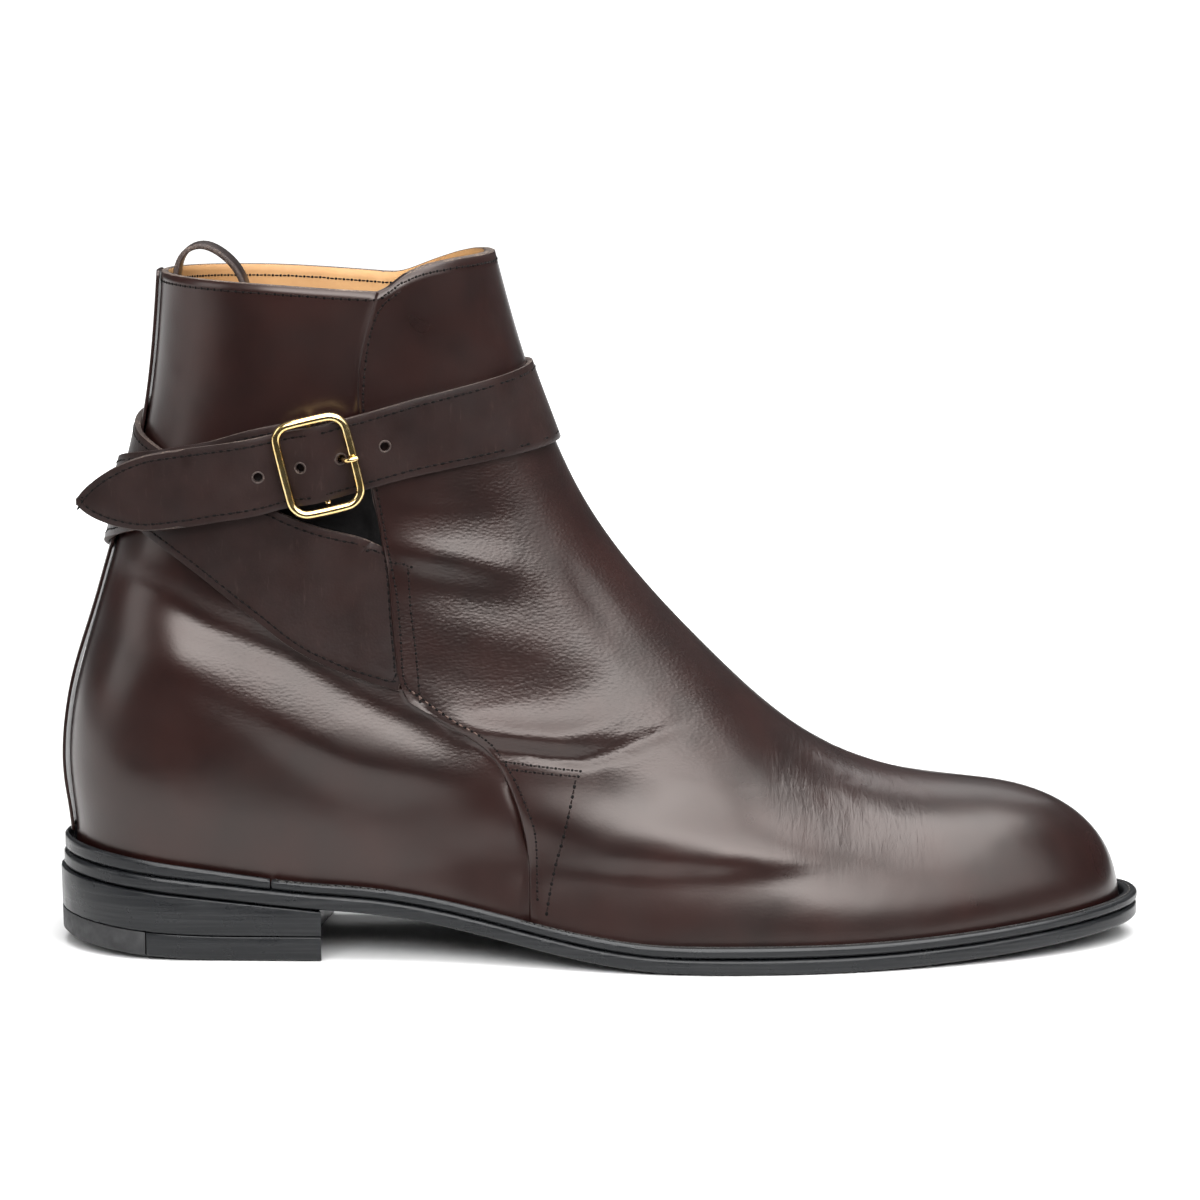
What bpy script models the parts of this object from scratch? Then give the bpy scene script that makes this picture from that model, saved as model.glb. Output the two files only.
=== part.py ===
# Jodhpur boot for the right foot: a lasted upper, two wrapping straps, a brass buckle,
# a welted leather sole and a stacked heel. Metres, +Z up, toe towards +X, outer side towards -Y.
# Inside the script x runs from the back of the heel; each object then moves back by ORIGIN_X,
# so that the part's origin is the centre of the heel's bottom face.

import math

import bmesh
import bpy
import numpy as np
from mathutils import Matrix, Vector

# Sole and heel
SOLE_LENGTH = 0.310
BALL_WIDTH = 0.104
HEEL_WIDTH = 0.067
HEEL_LENGTH = 0.0765
HEEL_HEIGHT = 0.0222
BREAST_HEIGHT = 0.0143
BREAST_BOW = 0.003
HEEL_TAPER = 0.0004
HEEL_BACK_LIFT = 0.0034
HEEL_FLAT_FROM = 0.050
TOP_PIECE_THICKNESS = 0.0068
RUBBER_LENGTH = 0.027
ORIGIN_X = 0.062
TOE_SPRING = 0.0056
TOE_SHIFT = 0.006
OUTSOLE_THICKNESS = 0.0044
EDGE_BEVEL = 0.0007
WELT_THICKNESS = 0.0029
RAND_THICKNESS = 0.0048
WELT_REACH = 0.0056
WAIST_REACH = 0.0036
HEEL_REACH = 0.0040
WELT_JOINT = 0.0625
RAND_INSET = 0.0011
OUTSOLE_INSET = 0.0007
INSOLE_THICKNESS = 0.0035
FLAT_FROM = 0.57
FLAT_TO = 0.71
HEEL_ROUND = 0.115
TOE_ROUND = 0.235

# Upper
GAP = 0.0003
WALL = 0.0021
VAMP_STEP = 0.0010
SHAFT_RISE = 0.1653
FRONT_RISE = 0.1854
BACK_LEAN = 0.0269
SHAFT_LENGTH = 0.0933
SHAFT_WIDTH = 0.079
SIDE_SWELL = 0.0012
BACK_POWER = 2.15
RIDGE_SHIFT = 0.002
STEP_RUN = 0.0004
SEAT_BLEND = 0.030

# Straps, loop and strip
STRAP_WIDTH = 0.0220
STRAP_THICKNESS = 0.0018
ROOT_WIDTH = 0.0400
ROOT_THICKNESS = 0.0010
ROOT_FLARE_TURN = 30.0
DRAPE = 0.0040
DRAPE_CLEARANCE = 0.0024
DROP_FROM = 252.0
DROP_TURN = 12.0
TIP_LENGTH = 0.042
TIP_POINT = 0.024
TIP_POWER = 1.55
TIP_CURL = 9.0
HOLE_SPACING = 0.0124
HOLE_DIAMETER = 0.0026
STRIP_WIDTH = 0.013
STRIP_THICKNESS = 0.0009
LOOP_WIDTH = 0.014
LOOP_THICKNESS = 0.0016
LOOP_RISE = 0.007

# Buckle
BUCKLE_LENGTH = 0.0226
BUCKLE_HEIGHT = 0.0288
BUCKLE_BAR = 0.0027
BUCKLE_CORNER = 0.0062
BUCKLE_LIFT = 0.0070
CENTRE_BAR = 0.0018
PRONG_DIAMETER = 0.0015
BUCKLE_TURN = 81.0
HOLE_AHEAD = 0.31
BUCKLE_CROWN = 0.063

# Mesh density
SOLE_STATIONS = 34
QUARTER_COLUMNS = 15
VAMP_COLUMNS = 18
UPPER_ROWS = 25
STRAP_STEP = 7.0
STRAP_COLUMNS = 6

# Half widths of the sole's edge from heel to ball, as shares of the heel's width:
# along the sole, outer side, inner side
REAR_OUTLINE = (
    (0.00, 0.490, 0.490),
    (0.12, 0.500, 0.500),
    (0.24, 0.515, 0.480),
)
# The same from the waist to the toe, as shares of the ball's width, before the toe is rounded off
FORE_OUTLINE = (
    (0.37, 0.362, 0.290),
    (0.50, 0.470, 0.345),
    (0.57, 0.508, 0.400),
    (0.63, 0.518, 0.455),
    (0.71, 0.506, 0.488),
    (0.80, 0.455, 0.482),
    (0.90, 0.400, 0.430),
    (1.00, 0.350, 0.370),
)
# Back of the upper: height up the shaft, lean as a share of BACK_LEAN
BACK_PROFILE = (
    (0.000, 0.000),
    (0.050, 0.007),
    (0.115, -0.056),
    (0.175, -0.071),
    (0.225, -0.045),
    (0.310, 0.052),
    (0.420, 0.268),
    (0.505, 0.420),
    (0.565, 0.535),
    (0.640, 0.673),
    (0.750, 0.833),
    (0.860, 0.929),
    (1.000, 1.000),
)
# Front of the upper from toe to peak: reach ahead of the collar, rise as a share of FRONT_RISE
FRONT_PROFILE = (
    (1.000, 0.000),
    (0.998, 0.037),
    (0.986, 0.082),
    (0.948, 0.132),
    (0.890, 0.172),
    (0.798, 0.201),
    (0.687, 0.215),
    (0.593, 0.238),
    (0.515, 0.274),
    (0.440, 0.325),
    (0.349, 0.411),
    (0.257, 0.501),
    (0.182, 0.583),
    (0.125, 0.658),
    (0.089, 0.737),
    (0.049, 0.833),
    (0.022, 0.918),
    (0.000, 1.000),
)
# Level sections of heel, ankle and shaft: height up the shaft, outer and inner half width as shares
# of half the shaft's width, widest place from the back as a share of the shaft's length,
# squareness of the front half
SHAFT_SECTIONS = (
    (0.00, 0.800, 0.790, 0.36, 3.0),
    (0.08, 0.835, 0.820, 0.37, 3.0),
    (0.20, 0.860, 0.840, 0.40, 3.0),
    (0.32, 0.840, 0.815, 0.43, 2.9),
    (0.44, 0.805, 0.790, 0.46, 2.6),
    (0.54, 0.825, 0.815, 0.485, 2.35),
    (0.65, 0.885, 0.875, 0.50, 2.2),
    (0.80, 0.955, 0.945, 0.50, 2.15),
    (1.06, 1.000, 0.990, 0.50, 2.1),
)
# Dome of the forefoot's upright sections: along the sole, power of the height
DOME_POWER = (
    (0.30, 1.9),
    (0.55, 1.8),
    (0.66, 1.9),
    (0.76, 2.2),
    (0.90, 2.4),
    (1.00, 2.4),
)
# Rear edge of the vamp: height up the shaft, distance from the heel's back as a share of SOLE_LENGTH
VAMP_EDGE = (
    (-0.08, 0.4360),
    (0.020, 0.4350),
    (0.103, 0.4280),
    (0.159, 0.4130),
    (0.211, 0.3930),
    (0.242, 0.3640),
    (0.290, 0.3200),
    (0.313, 0.3165),
    (0.413, 0.3120),
    (0.538, 0.3060),
    (0.643, 0.2950),
    (0.745, 0.2850),
    (0.805, 0.2830),
    (0.890, 0.2870),
    (0.947, 0.2960),
    (1.050, 0.3120),
)
# Top line of quarters and vamp: place round the collar from back to front, dip below a straight
# line from back to peak on the outer and on the inner side, as shares of SHAFT_RISE
COLLAR_LINE = (
    (0.00, 0.000, 0.000),
    (0.35, 0.020, 0.020),
    (0.69, 0.044, 0.044),
    (0.71, 0.034, 0.044),
    (0.75, 0.017, 0.038),
    (0.82, 0.004, 0.024),
    (0.90, 0.000, 0.010),
    (0.96, 0.000, 0.002),
    (1.00, 0.000, 0.000),
)
# Long strap: turn in degrees from the front towards the outer side, height up the shaft, flare
# towards the root, straps lying underneath, vamp underneath
LONG_STRAP = (
    (34.5, 0.421, 1.00, 0.0, 0.0),
    (50.0, 0.460, 0.66, 0.0, 0.0),
    (84.0, 0.518, 0.20, 0.0, 0.0),
    (115.0, 0.572, 0.05, 0.0, 0.0),
    (145.0, 0.626, 0.00, 0.0, 0.0),
    (180.0, 0.676, 0.00, 0.0, 0.0),
    (215.0, 0.704, 0.00, 0.0, 0.0),
    (250.0, 0.721, 0.00, 0.0, 0.0),
    (285.0, 0.737, 0.00, 0.0, 0.7),
    (310.0, 0.750, 0.00, 0.0, 1.15),
    (360.0, 0.772, 0.00, 0.0, 1.35),
    (398.0, 0.746, 0.00, 0.0, 1.1),
    (410.0, 0.732, 0.00, 0.0, 1.0),
    (424.0, 0.713, 0.00, 0.2, 1.0),
    (433.0, 0.705, 0.00, 1.3, 0.4),
    (441.0, 0.697, 0.00, 2.55, 0.0),
    (449.0, 0.690, 0.00, 1.45, 0.0),
    (455.0, 0.6845, 0.00, 1.10, 0.0),
    (459.0, 0.681, 0.00, 1.50, 0.0),
    (463.0, 0.677, 0.00, 2.05, 0.0),
    (468.0, 0.672, 0.00, 2.35, 0.0),
    (481.0, 0.660, 0.00, 2.50, 0.0),
)
# Buckle strap: turn towards the inner side, height up the shaft, flare towards the root
BUCKLE_STRAP = (
    (-34.5, 0.421, 1.00),
    (-50.0, 0.450, 0.66),
    (-84.0, 0.488, 0.24),
    (-115.0, 0.520, 0.15),
    (-135.0, 0.540, 0.10),
    (-180.0, 0.598, 0.05),
    (-215.0, 0.640, 0.00),
    (-240.0, 0.668, 0.00),
    (-252.0, 0.685, 0.00),
    (-262.0, 0.694, 0.00),
    (-281.0, 0.706, 0.00),
)
# Pull loop, from its upper end on the lining, over the top and down to its lower end:
# ahead of the lining and above the collar, as shares of LOOP_RISE
PULL_LOOP = (
    (0.00, -2.60),
    (0.05, -1.20),
    (0.10, 0.00),
    (0.35, 0.65),
    (1.00, 1.00),
    (1.80, 0.72),
    (2.60, -0.10),
    (3.00, -1.30),
    (2.75, -2.60),
    (1.80, -3.60),
    (0.70, -4.20),
    (0.15, -4.90),
)


def clearScene():
    for obj in list(bpy.data.objects):
        bpy.data.objects.remove(obj, do_unlink=True)


def material(name, colour, roughness, metallic=0.0):
    made = bpy.data.materials.new(name)
    made.use_nodes = True
    shader = made.node_tree.nodes["Principled BSDF"]
    shader.inputs["Base Color"].default_value = (*colour, 1.0)
    shader.inputs["Roughness"].default_value = roughness
    shader.inputs["Metallic"].default_value = metallic
    return made


def smooth(t):
    t = np.clip(t, 0.0, 1.0)
    return t * t * (3.0 - 2.0 * t)


def spline(rows, column):
    """Natural cubic through one column of a table, as a function of the table's first column."""
    xs = np.array([row[0] for row in rows], float)
    ys = np.array([row[column] for row in rows], float)
    h = np.diff(xs)
    system = np.eye(len(xs))
    right = np.zeros(len(xs))
    for i in range(1, len(xs) - 1):
        system[i, i - 1 : i + 2] = h[i - 1], 2.0 * (h[i - 1] + h[i]), h[i]
        right[i] = 6.0 * ((ys[i + 1] - ys[i]) / h[i] - (ys[i] - ys[i - 1]) / h[i - 1])
    bend = np.linalg.solve(system, right)

    def at(x):
        x = np.clip(x, xs[0], xs[-1])
        i = np.clip(np.searchsorted(xs, x) - 1, 0, len(h) - 1)
        below = xs[i + 1] - x
        above = x - xs[i]
        cubic = (bend[i] * below**3 + bend[i + 1] * above**3) / (6.0 * h[i])
        return (
            cubic
            + (ys[i] / h[i] - bend[i] * h[i] / 6.0) * below
            + (ys[i + 1] / h[i] - bend[i + 1] * h[i] / 6.0) * above
        )

    return at


def curveThrough(points, count):
    """Dense points on a smooth curve through the given ones, spaced evenly along it."""
    points = np.array(points, float)
    along = np.concatenate([[0.0], np.cumsum(np.linalg.norm(np.diff(points, axis=0), axis=1))])
    rows = np.column_stack([along, points])
    fine = np.linspace(0.0, along[-1], 12 * count)
    dense = np.column_stack([spline(rows, i + 1)(fine) for i in range(points.shape[1])])
    length = np.concatenate([[0.0], np.cumsum(np.linalg.norm(np.diff(dense, axis=0), axis=1))])
    even = np.linspace(0.0, length[-1], count)
    return np.column_stack([np.interp(even, length, dense[:, i]) for i in range(points.shape[1])])


# Heights of the sole


def soleUnderside(x):
    ahead = np.clip(x, 0.0, SOLE_LENGTH) / SOLE_LENGTH
    heel = HEEL_HEIGHT + (BREAST_HEIGHT - HEEL_HEIGHT) * x / HEEL_LENGTH
    breast = HEEL_LENGTH / SOLE_LENGTH
    waist = BREAST_HEIGHT * (1.0 - smooth((ahead - breast) / (FLAT_FROM - breast)))
    toe = TOE_SPRING * np.clip((ahead - FLAT_TO) / (1.0 - FLAT_TO), 0.0, 1.0) ** 1.8
    return np.where(x <= HEEL_LENGTH, heel, waist) + toe


def soleTop(x):
    return soleUnderside(x) + OUTSOLE_THICKNESS


def featherHeight(x):
    return soleTop(x) + GAP


# Outline of the sole

OUTLINE_ROWS = [(s, a * HEEL_WIDTH, b * HEEL_WIDTH) for s, a, b in REAR_OUTLINE] + [
    (s, a * BALL_WIDTH, b * BALL_WIDTH) for s, a, b in FORE_OUTLINE
]
OUTER_HALF = spline(OUTLINE_ROWS, 1)
INNER_HALF = spline(OUTLINE_ROWS, 2)


def roundEnd(t, power):
    return (1.0 - (1.0 - np.clip(t, 0.0, 1.0)) ** power) ** (1.0 / power)


def centreLine(x):
    return TOE_SHIFT * smooth((x / SOLE_LENGTH - 0.50) / 0.50)


class Edge:
    """The sole's edge moved inwards by a distance: y of its outer and inner side at each x."""

    def __init__(self, inset):
        turn = np.linspace(0.0, 2.0 * math.pi, 480, endpoint=False)
        share = (1.0 - np.cos(turn)) / 2.0
        x = share * SOLE_LENGTH
        ends = roundEnd(share / HEEL_ROUND, 2.0) * roundEnd((1.0 - share) / TOE_ROUND, 2.15)
        outer = turn < math.pi
        half = np.where(outer, -OUTER_HALF(share), INNER_HALF(share)) * ends
        points = np.column_stack([x, centreLine(x) + half])
        along = np.roll(points, -1, axis=0) - np.roll(points, 1, axis=0)
        along /= np.linalg.norm(along, axis=1)[:, None]
        depth = inset(x) if callable(inset) else inset
        points[:, 0] -= along[:, 1] * depth
        points[:, 1] += along[:, 0] * depth
        self.start = points[0, 0]
        self.end = points[240, 0]
        self.outerSide = points[:241]
        self.innerSide = np.vstack([points[:1], points[:239:-1]])

    def side(self, x, which):
        share = np.clip((x - self.start) / (self.end - self.start), 0.0, 1.0)
        known = self.outerSide if which < 0 else self.innerSide
        place = np.clip((known[:, 0] - self.start) / (self.end - self.start), 0.0, 1.0)
        return np.interp(np.arccos(1.0 - 2.0 * share), np.arccos(1.0 - 2.0 * place), known[:, 1])


def featherReach(x):
    waist = HEEL_REACH + (WAIST_REACH - HEEL_REACH) * smooth((x - HEEL_LENGTH / 2) / HEEL_LENGTH)
    fore = smooth((x / SOLE_LENGTH - 0.40) / 0.20)
    return waist + (WELT_REACH - WAIST_REACH) * fore


FEATHER = Edge(featherReach)

# Profiles of the upper

SEAT = float(featherHeight(0.0))
BACK_SHARE = spline(BACK_PROFILE, 1)
COLLAR_FRONT = HEEL_REACH + BACK_LEAN + SHAFT_LENGTH


def frontPoints():
    rows = []
    for ahead, rise in FRONT_PROFILE:
        x = COLLAR_FRONT + ahead * (FEATHER.end - COLLAR_FRONT)
        rows.append((x, featherHeight(x) + rise * FRONT_RISE))
    return curveThrough(rows, 300)


FRONT = frontPoints()
DOME = spline(DOME_POWER, 1)
SECTION = [spline(SHAFT_SECTIONS, i) for i in range(1, 5)]
COLLAR_DIP = np.array(COLLAR_LINE)
VAMP_EDGE_SHARE = spline(VAMP_EDGE, 1)


def backX(z):
    return HEEL_REACH + BACK_LEAN * BACK_SHARE((z - SEAT) / SHAFT_RISE)


def frontX(z):
    return np.interp(z, FRONT[:, 1], FRONT[:, 0])


def ridgeHeight(x):
    return np.interp(x, FRONT[::-1, 0], FRONT[::-1, 1])


def vampEdgeX(z):
    return SOLE_LENGTH * VAMP_EDGE_SHARE((z - SEAT) / SHAFT_RISE)


def shaftSection(z, side):
    """Widest place, reach to the back and to the front, half width and squareness of a level section."""
    height = (z - SEAT) / SHAFT_RISE
    half = SHAFT_WIDTH / 2.0 * (SECTION[0](height) if side < 0 else SECTION[1](height))
    back = backX(z)
    widest = back + SECTION[2](height) * SHAFT_LENGTH
    return widest, widest - back, frontX(z) - widest, half, SECTION[3](height)


def levelHalf(x, z, side):
    widest, toBack, toFront, half, power = shaftSection(z, side)
    away = np.where(x < widest, (widest - x) / toBack, (x - widest) / np.maximum(toFront, 1e-4))
    power = np.where(x < widest, BACK_POWER, power)
    return half * (1.0 - np.clip(away, 0.0, 1.0) ** power) ** (1.0 / power)


def uprightHalf(x, z, side):
    low = featherHeight(x)
    rise = np.clip((z - low) / np.maximum(ridgeHeight(x) - low, 1e-4), 0.0, 1.0)
    half = side * (FEATHER.side(x, side) - centreLine(x))
    swell = SIDE_SWELL * np.sin(math.pi * np.clip(rise / 0.6, 0.0, 1.0))
    return (half + swell) * np.sqrt(1.0 - rise ** DOME(x / SOLE_LENGTH))


def ridgeLean(x):
    return RIDGE_SHIFT * smooth((x / SOLE_LENGTH - 0.40) / 0.15)


def upperPoints(share, v, side):
    """Points of the outer face, on one side, at shares of the way from back to front along row v."""
    backZ = SEAT + v * SHAFT_RISE
    step = v**1.35 * (len(FRONT) - 1)
    frontEnd = np.array([np.interp(step, np.arange(len(FRONT)), FRONT[:, i]) for i in (0, 1)])
    x = backX(backZ) + share * (frontEnd[0] - backX(backZ))
    z = backZ + share * (frontEnd[1] - backZ)
    footX = FEATHER.start + share * (FEATHER.end - FEATHER.start)
    lowest = SEAT + share * (FRONT[0, 1] - SEAT)
    z = z + (1.0 - v) ** 1.6 * (featherHeight(footX) - lowest)
    z = z - v**7 * SHAFT_RISE * np.interp(share, COLLAR_DIP[:, 0], COLLAR_DIP[:, 1 if side < 0 else 2])
    fore = smooth((x / SOLE_LENGTH - 0.29) / 0.31) * (1.0 - smooth(((z - SEAT) / SHAFT_RISE - 0.42) / 0.27))
    foot = side * (FEATHER.side(footX, side) - centreLine(footX))
    above = z - featherHeight(x)
    low = 1.0 - smooth(above / SEAT_BLEND)
    rear = levelHalf(x, z, side) * (1.0 - low) + foot * low
    half = rear * (1.0 - fore) + uprightHalf(x, z, side) * fore
    middle = centreLine(x) + ridgeLean(x) * (1.0 - low)
    return np.column_stack([x, middle + side * half, z])


def vampShare(v, side):
    """Where row v crosses the vamp's rear edge."""
    share = np.linspace(0.02, 0.98, 400)
    points = upperPoints(share, v, side)
    ahead = points[:, 0] - vampEdgeX(points[:, 2])
    first = int(np.argmax(ahead > 0.0))
    before = ahead[first - 1]
    return share[first - 1] + (share[1] - share[0]) * before / (before - ahead[first])


def columnShares(v, side):
    """Shares of one side's columns from back to front, and whether each belongs to the vamp."""
    edge = vampShare(v, side)
    k = np.arange(QUARTER_COLUMNS + 1) / QUARTER_COLUMNS
    quarter = edge * (0.80 * (1.0 - np.cos(k * math.pi / 2.0)) + 0.20 * k**1.5)
    start = edge + STEP_RUN / (float(FRONT[0, 0]) * (1.0 - v) + SHAFT_LENGTH * v)
    k = np.arange(VAMP_COLUMNS + 1) / VAMP_COLUMNS
    vamp = start + (1.0 - start) * (0.80 * np.sin(k * math.pi / 2.0) + 0.20 * (1.0 - (1.0 - k) ** 1.5))
    return np.concatenate([quarter, vamp]), np.concatenate([quarter * 0.0, vamp * 0.0 + 1.0])


def upperGrid():
    """Outer base points row by row round the boot, from the back over the outer side and home."""
    rows = []
    for v in np.linspace(0.0, 1.0, UPPER_ROWS):
        outerShare, onVamp = columnShares(v, -1)
        innerShare, _ = columnShares(v, 1)
        outer = upperPoints(outerShare, v, -1)
        inner = upperPoints(innerShare, v, 1)
        rows.append(np.vstack([outer, inner[-2:0:-1]]))
    return np.array(rows), np.concatenate([onVamp, onVamp[-2:0:-1]])


def gridNormals(grid, closed):
    if closed:
        along = np.roll(grid, -1, axis=1) - np.roll(grid, 1, axis=1)
    else:
        along = np.gradient(grid, axis=1)
    up = np.gradient(grid, axis=0)
    normals = np.cross(along, up)
    return normals / np.linalg.norm(normals, axis=2)[..., None]


# Meshes


def finish(name, bm, finishMaterial, sharp=35.0):
    bmesh.ops.recalc_face_normals(bm, faces=bm.faces)
    mesh = bpy.data.meshes.new(name)
    bm.to_mesh(mesh)
    bm.free()
    mesh.shade_smooth()
    mesh.set_sharp_from_angle(angle=math.radians(sharp))
    mesh.materials.append(finishMaterial)
    obj = bpy.data.objects.new(name, mesh)
    obj.location = (-ORIGIN_X, 0.0, 0.0)
    bpy.context.scene.collection.objects.link(obj)
    return obj


def addRing(bm, points):
    return [bm.verts.new(tuple(point)) for point in points]


def joinRings(bm, first, second, closed=True):
    count = len(first)
    for i in range(count if closed else count - 1):
        j = (i + 1) % count
        bm.faces.new((first[i], first[j], second[j], second[i]))


def shell(name, outer, inner, finishMaterial, closed):
    """A wall between two grids of points, closed at its edges."""
    bm = bmesh.new()
    outerRows = [addRing(bm, row) for row in outer]
    innerRows = [addRing(bm, row) for row in inner]
    for rows in (outerRows, innerRows):
        for first, second in zip(rows, rows[1:]):
            joinRings(bm, first, second, closed)
    joinRings(bm, outerRows[0], innerRows[0], closed)
    joinRings(bm, outerRows[-1], innerRows[-1], closed)
    if not closed:
        for side in (0, -1):
            joinRings(bm, [row[side] for row in outerRows], [row[side] for row in innerRows], False)
    return finish(name, bm, finishMaterial)


def fullRing(edge, count, height):
    share = (1.0 - np.cos(np.linspace(0.0, math.pi, count + 1))) / 2.0
    x = edge.start + (edge.end - edge.start) * share
    outer = np.column_stack([x, edge.side(x, -1), height(x)])
    inner = np.column_stack([x, edge.side(x, 1), height(x)])
    return np.vstack([outer, inner[-2:0:-1]])


def ladder(bm, ring):
    """Faces across a full ring, from the outer side to the inner one."""
    count = len(ring)
    bm.faces.new((ring[0], ring[1], ring[-1]))
    for i in range(1, count // 2 - 1):
        bm.faces.new((ring[i], ring[i + 1], ring[count - i - 1], ring[count - i]))
    middle = count // 2
    bm.faces.new((ring[middle - 1], ring[middle], ring[middle + 1]))


def plate(name, levels, finishMaterial):
    """A plate over the whole length, from levels of inset and height, bottom first."""
    bm = bmesh.new()
    rings = [addRing(bm, fullRing(Edge(inset), SOLE_STATIONS, height)) for inset, height in levels]
    for first, second in zip(rings, rings[1:]):
        joinRings(bm, first, second)
    ladder(bm, rings[0])
    ladder(bm, rings[-1])
    return finish(name, bm, finishMaterial)


def openRun(edge, joint, towardsToe, count, height):
    """Points from the joint on the outer side, round the toe or heel, to the joint on the inner side."""
    end = edge.end if towardsToe else edge.start
    share = np.sin(np.linspace(0.0, math.pi / 2.0, count + 1))
    x = joint + (end - joint) * share
    outer = np.column_stack([x, edge.side(x, -1), height(x)])
    inner = np.column_stack([x, edge.side(x, 1), height(x)])
    return np.vstack([outer, inner[-2::-1]])


def edgeBand(name, corners, joint, towardsToe, count, finishMaterial):
    """A bar along the sole's edge, from the corners of its section: inset and height, in order round it."""
    bm = bmesh.new()
    runs = [addRing(bm, openRun(Edge(inset), joint, towardsToe, count, height)) for inset, height in corners]
    for first, second in zip(runs, runs[1:] + runs[:1]):
        joinRings(bm, first, second, closed=False)
    for end in (0, -1):
        bm.faces.new([run[end] for run in runs])
    return finish(name, bm, finishMaterial)


# Sole pieces


def heelInset(x, depth):
    """An edge set in by depth at the heel, running out to the full outline at the welt's joint."""
    return depth * (1.0 - smooth(x / WELT_JOINT - 0.3))


def makeOutsole(edgeFinish):
    def inset(x):
        return heelInset(x, OUTSOLE_INSET)

    def insetBevel(x):
        return heelInset(x, OUTSOLE_INSET) + EDGE_BEVEL

    def lowEdge(x):
        return soleUnderside(x) + EDGE_BEVEL

    def highEdge(x):
        return soleTop(x) - EDGE_BEVEL

    levels = [(insetBevel, soleUnderside), (inset, lowEdge), (inset, highEdge), (insetBevel, soleTop)]
    return plate("outsole", levels, edgeFinish)


def insideFeather(x):
    return featherReach(x) + WALL + 2.0 * GAP


def makeInsole(lining):
    def top(x):
        return featherHeight(x) + INSOLE_THICKNESS

    return plate("insole", [(insideFeather, featherHeight), (insideFeather, top)], lining)


def weltInner(x):
    return featherReach(x) - VAMP_STEP - GAP


def weltInnerTop(x):
    return weltInner(x) - SIDE_SWELL / 2.0


def weltSection(top, depth):
    def inset(x):
        return heelInset(x, depth)

    def insetBevel(x):
        return heelInset(x, depth) + EDGE_BEVEL

    def lowEdge(x):
        return featherHeight(x) + EDGE_BEVEL

    def highEdge(x):
        return top(x) - EDGE_BEVEL

    return [
        (insetBevel, featherHeight),
        (inset, lowEdge),
        (inset, highEdge),
        (insetBevel, top),
        (weltInnerTop, top),
        (weltInner, featherHeight),
    ]


def makeWelt(edgeFinish):
    def top(x):
        return featherHeight(x) + WELT_THICKNESS

    return edgeBand("welt", weltSection(top, RAND_INSET), WELT_JOINT, True, SOLE_STATIONS, edgeFinish)


def makeHeelRand(edgeFinish):
    def top(x):
        back = 1.0 - np.clip(x / WELT_JOINT, 0.0, 1.0)
        return featherHeight(x) + WELT_THICKNESS + (RAND_THICKNESS - WELT_THICKNESS) * back

    corners = weltSection(top, RAND_INSET)
    return edgeBand("heel_rand", corners, WELT_JOINT - GAP, False, 12, edgeFinish)


def breastCurve(edge, count):
    """The heel's hollow front, from the inner side to the outer side."""
    inner = edge.side(HEEL_LENGTH, 1)
    outer = edge.side(HEEL_LENGTH, -1)
    share = np.arange(1, count) / count
    y = inner + (outer - inner) * share
    x = HEEL_LENGTH - BREAST_BOW * (1.0 - (2.0 * share - 1.0) ** 2)
    return np.column_stack([x, y])


def heelPiece(name, levels, fromX, toX, finishMaterial):
    """A slice of the heel between two places along it, from levels of inset and height."""
    bm = bmesh.new()
    rings = []
    toBack = fromX is None
    share = np.sin(np.linspace(0.0, math.pi / 2.0, 15)) if toBack else np.linspace(0.0, 1.0, 7)
    for inset, height in levels:
        edge = Edge(inset)
        x = toX + ((edge.start if toBack else fromX) - toX) * share
        outer = np.column_stack([x, edge.side(x, -1)])
        inner = np.column_stack([x, edge.side(x, 1)])[::-1]
        plan = [outer, inner[1:] if toBack else inner]
        if toX == HEEL_LENGTH:
            plan.append(breastCurve(edge, 8))
        plan = np.vstack(plan)
        rings.append(addRing(bm, np.column_stack([plan, height(plan[:, 0])])))
    for first, second in zip(rings, rings[1:]):
        joinRings(bm, first, second)
    last = len(share) - 1
    opposite = 2 * last + (0 if toBack else 1)
    for ring in (rings[0], rings[-1]):
        bm.faces.new([ring[1], ring[0], *ring[:opposite:-1], ring[opposite], ring[opposite - 1]])
        for i in range(1, last):
            corners = [ring[i], ring[i + 1], ring[opposite - i - 1], ring[opposite - i]]
            bm.faces.new(corners[:2] + corners[3:] if corners[1] is corners[2] else corners)
    return finish(name, bm, finishMaterial)


def heelFloor(x):
    """The heel's bottom: flat towards the breast, lifting at the back."""
    return HEEL_BACK_LIFT * np.clip(1.0 - x / HEEL_FLAT_FROM, 0.0, 1.0) ** 1.7


def makeHeel(stackFinish, rubber):
    def seat(x):
        return soleUnderside(np.minimum(x, HEEL_LENGTH)) - GAP

    def topPiece(x):
        return heelFloor(x) + TOP_PIECE_THICKNESS

    def aboveTopPiece(x):
        return topPiece(x) + GAP

    def chamfer(x):
        return heelFloor(x) + EDGE_BEVEL

    stackLevels = [(HEEL_TAPER * 0.7, aboveTopPiece), (0.0, seat)]
    heelPiece("heel_stack", stackLevels, None, HEEL_LENGTH, stackFinish)
    levels = [(HEEL_TAPER + EDGE_BEVEL, heelFloor), (HEEL_TAPER, chamfer), (HEEL_TAPER * 0.7, topPiece)]
    heelPiece("heel_top_leather", levels, RUBBER_LENGTH, HEEL_LENGTH, stackFinish)
    heelPiece("heel_top_rubber", levels, None, RUBBER_LENGTH - GAP, rubber)


# Upper


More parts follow.
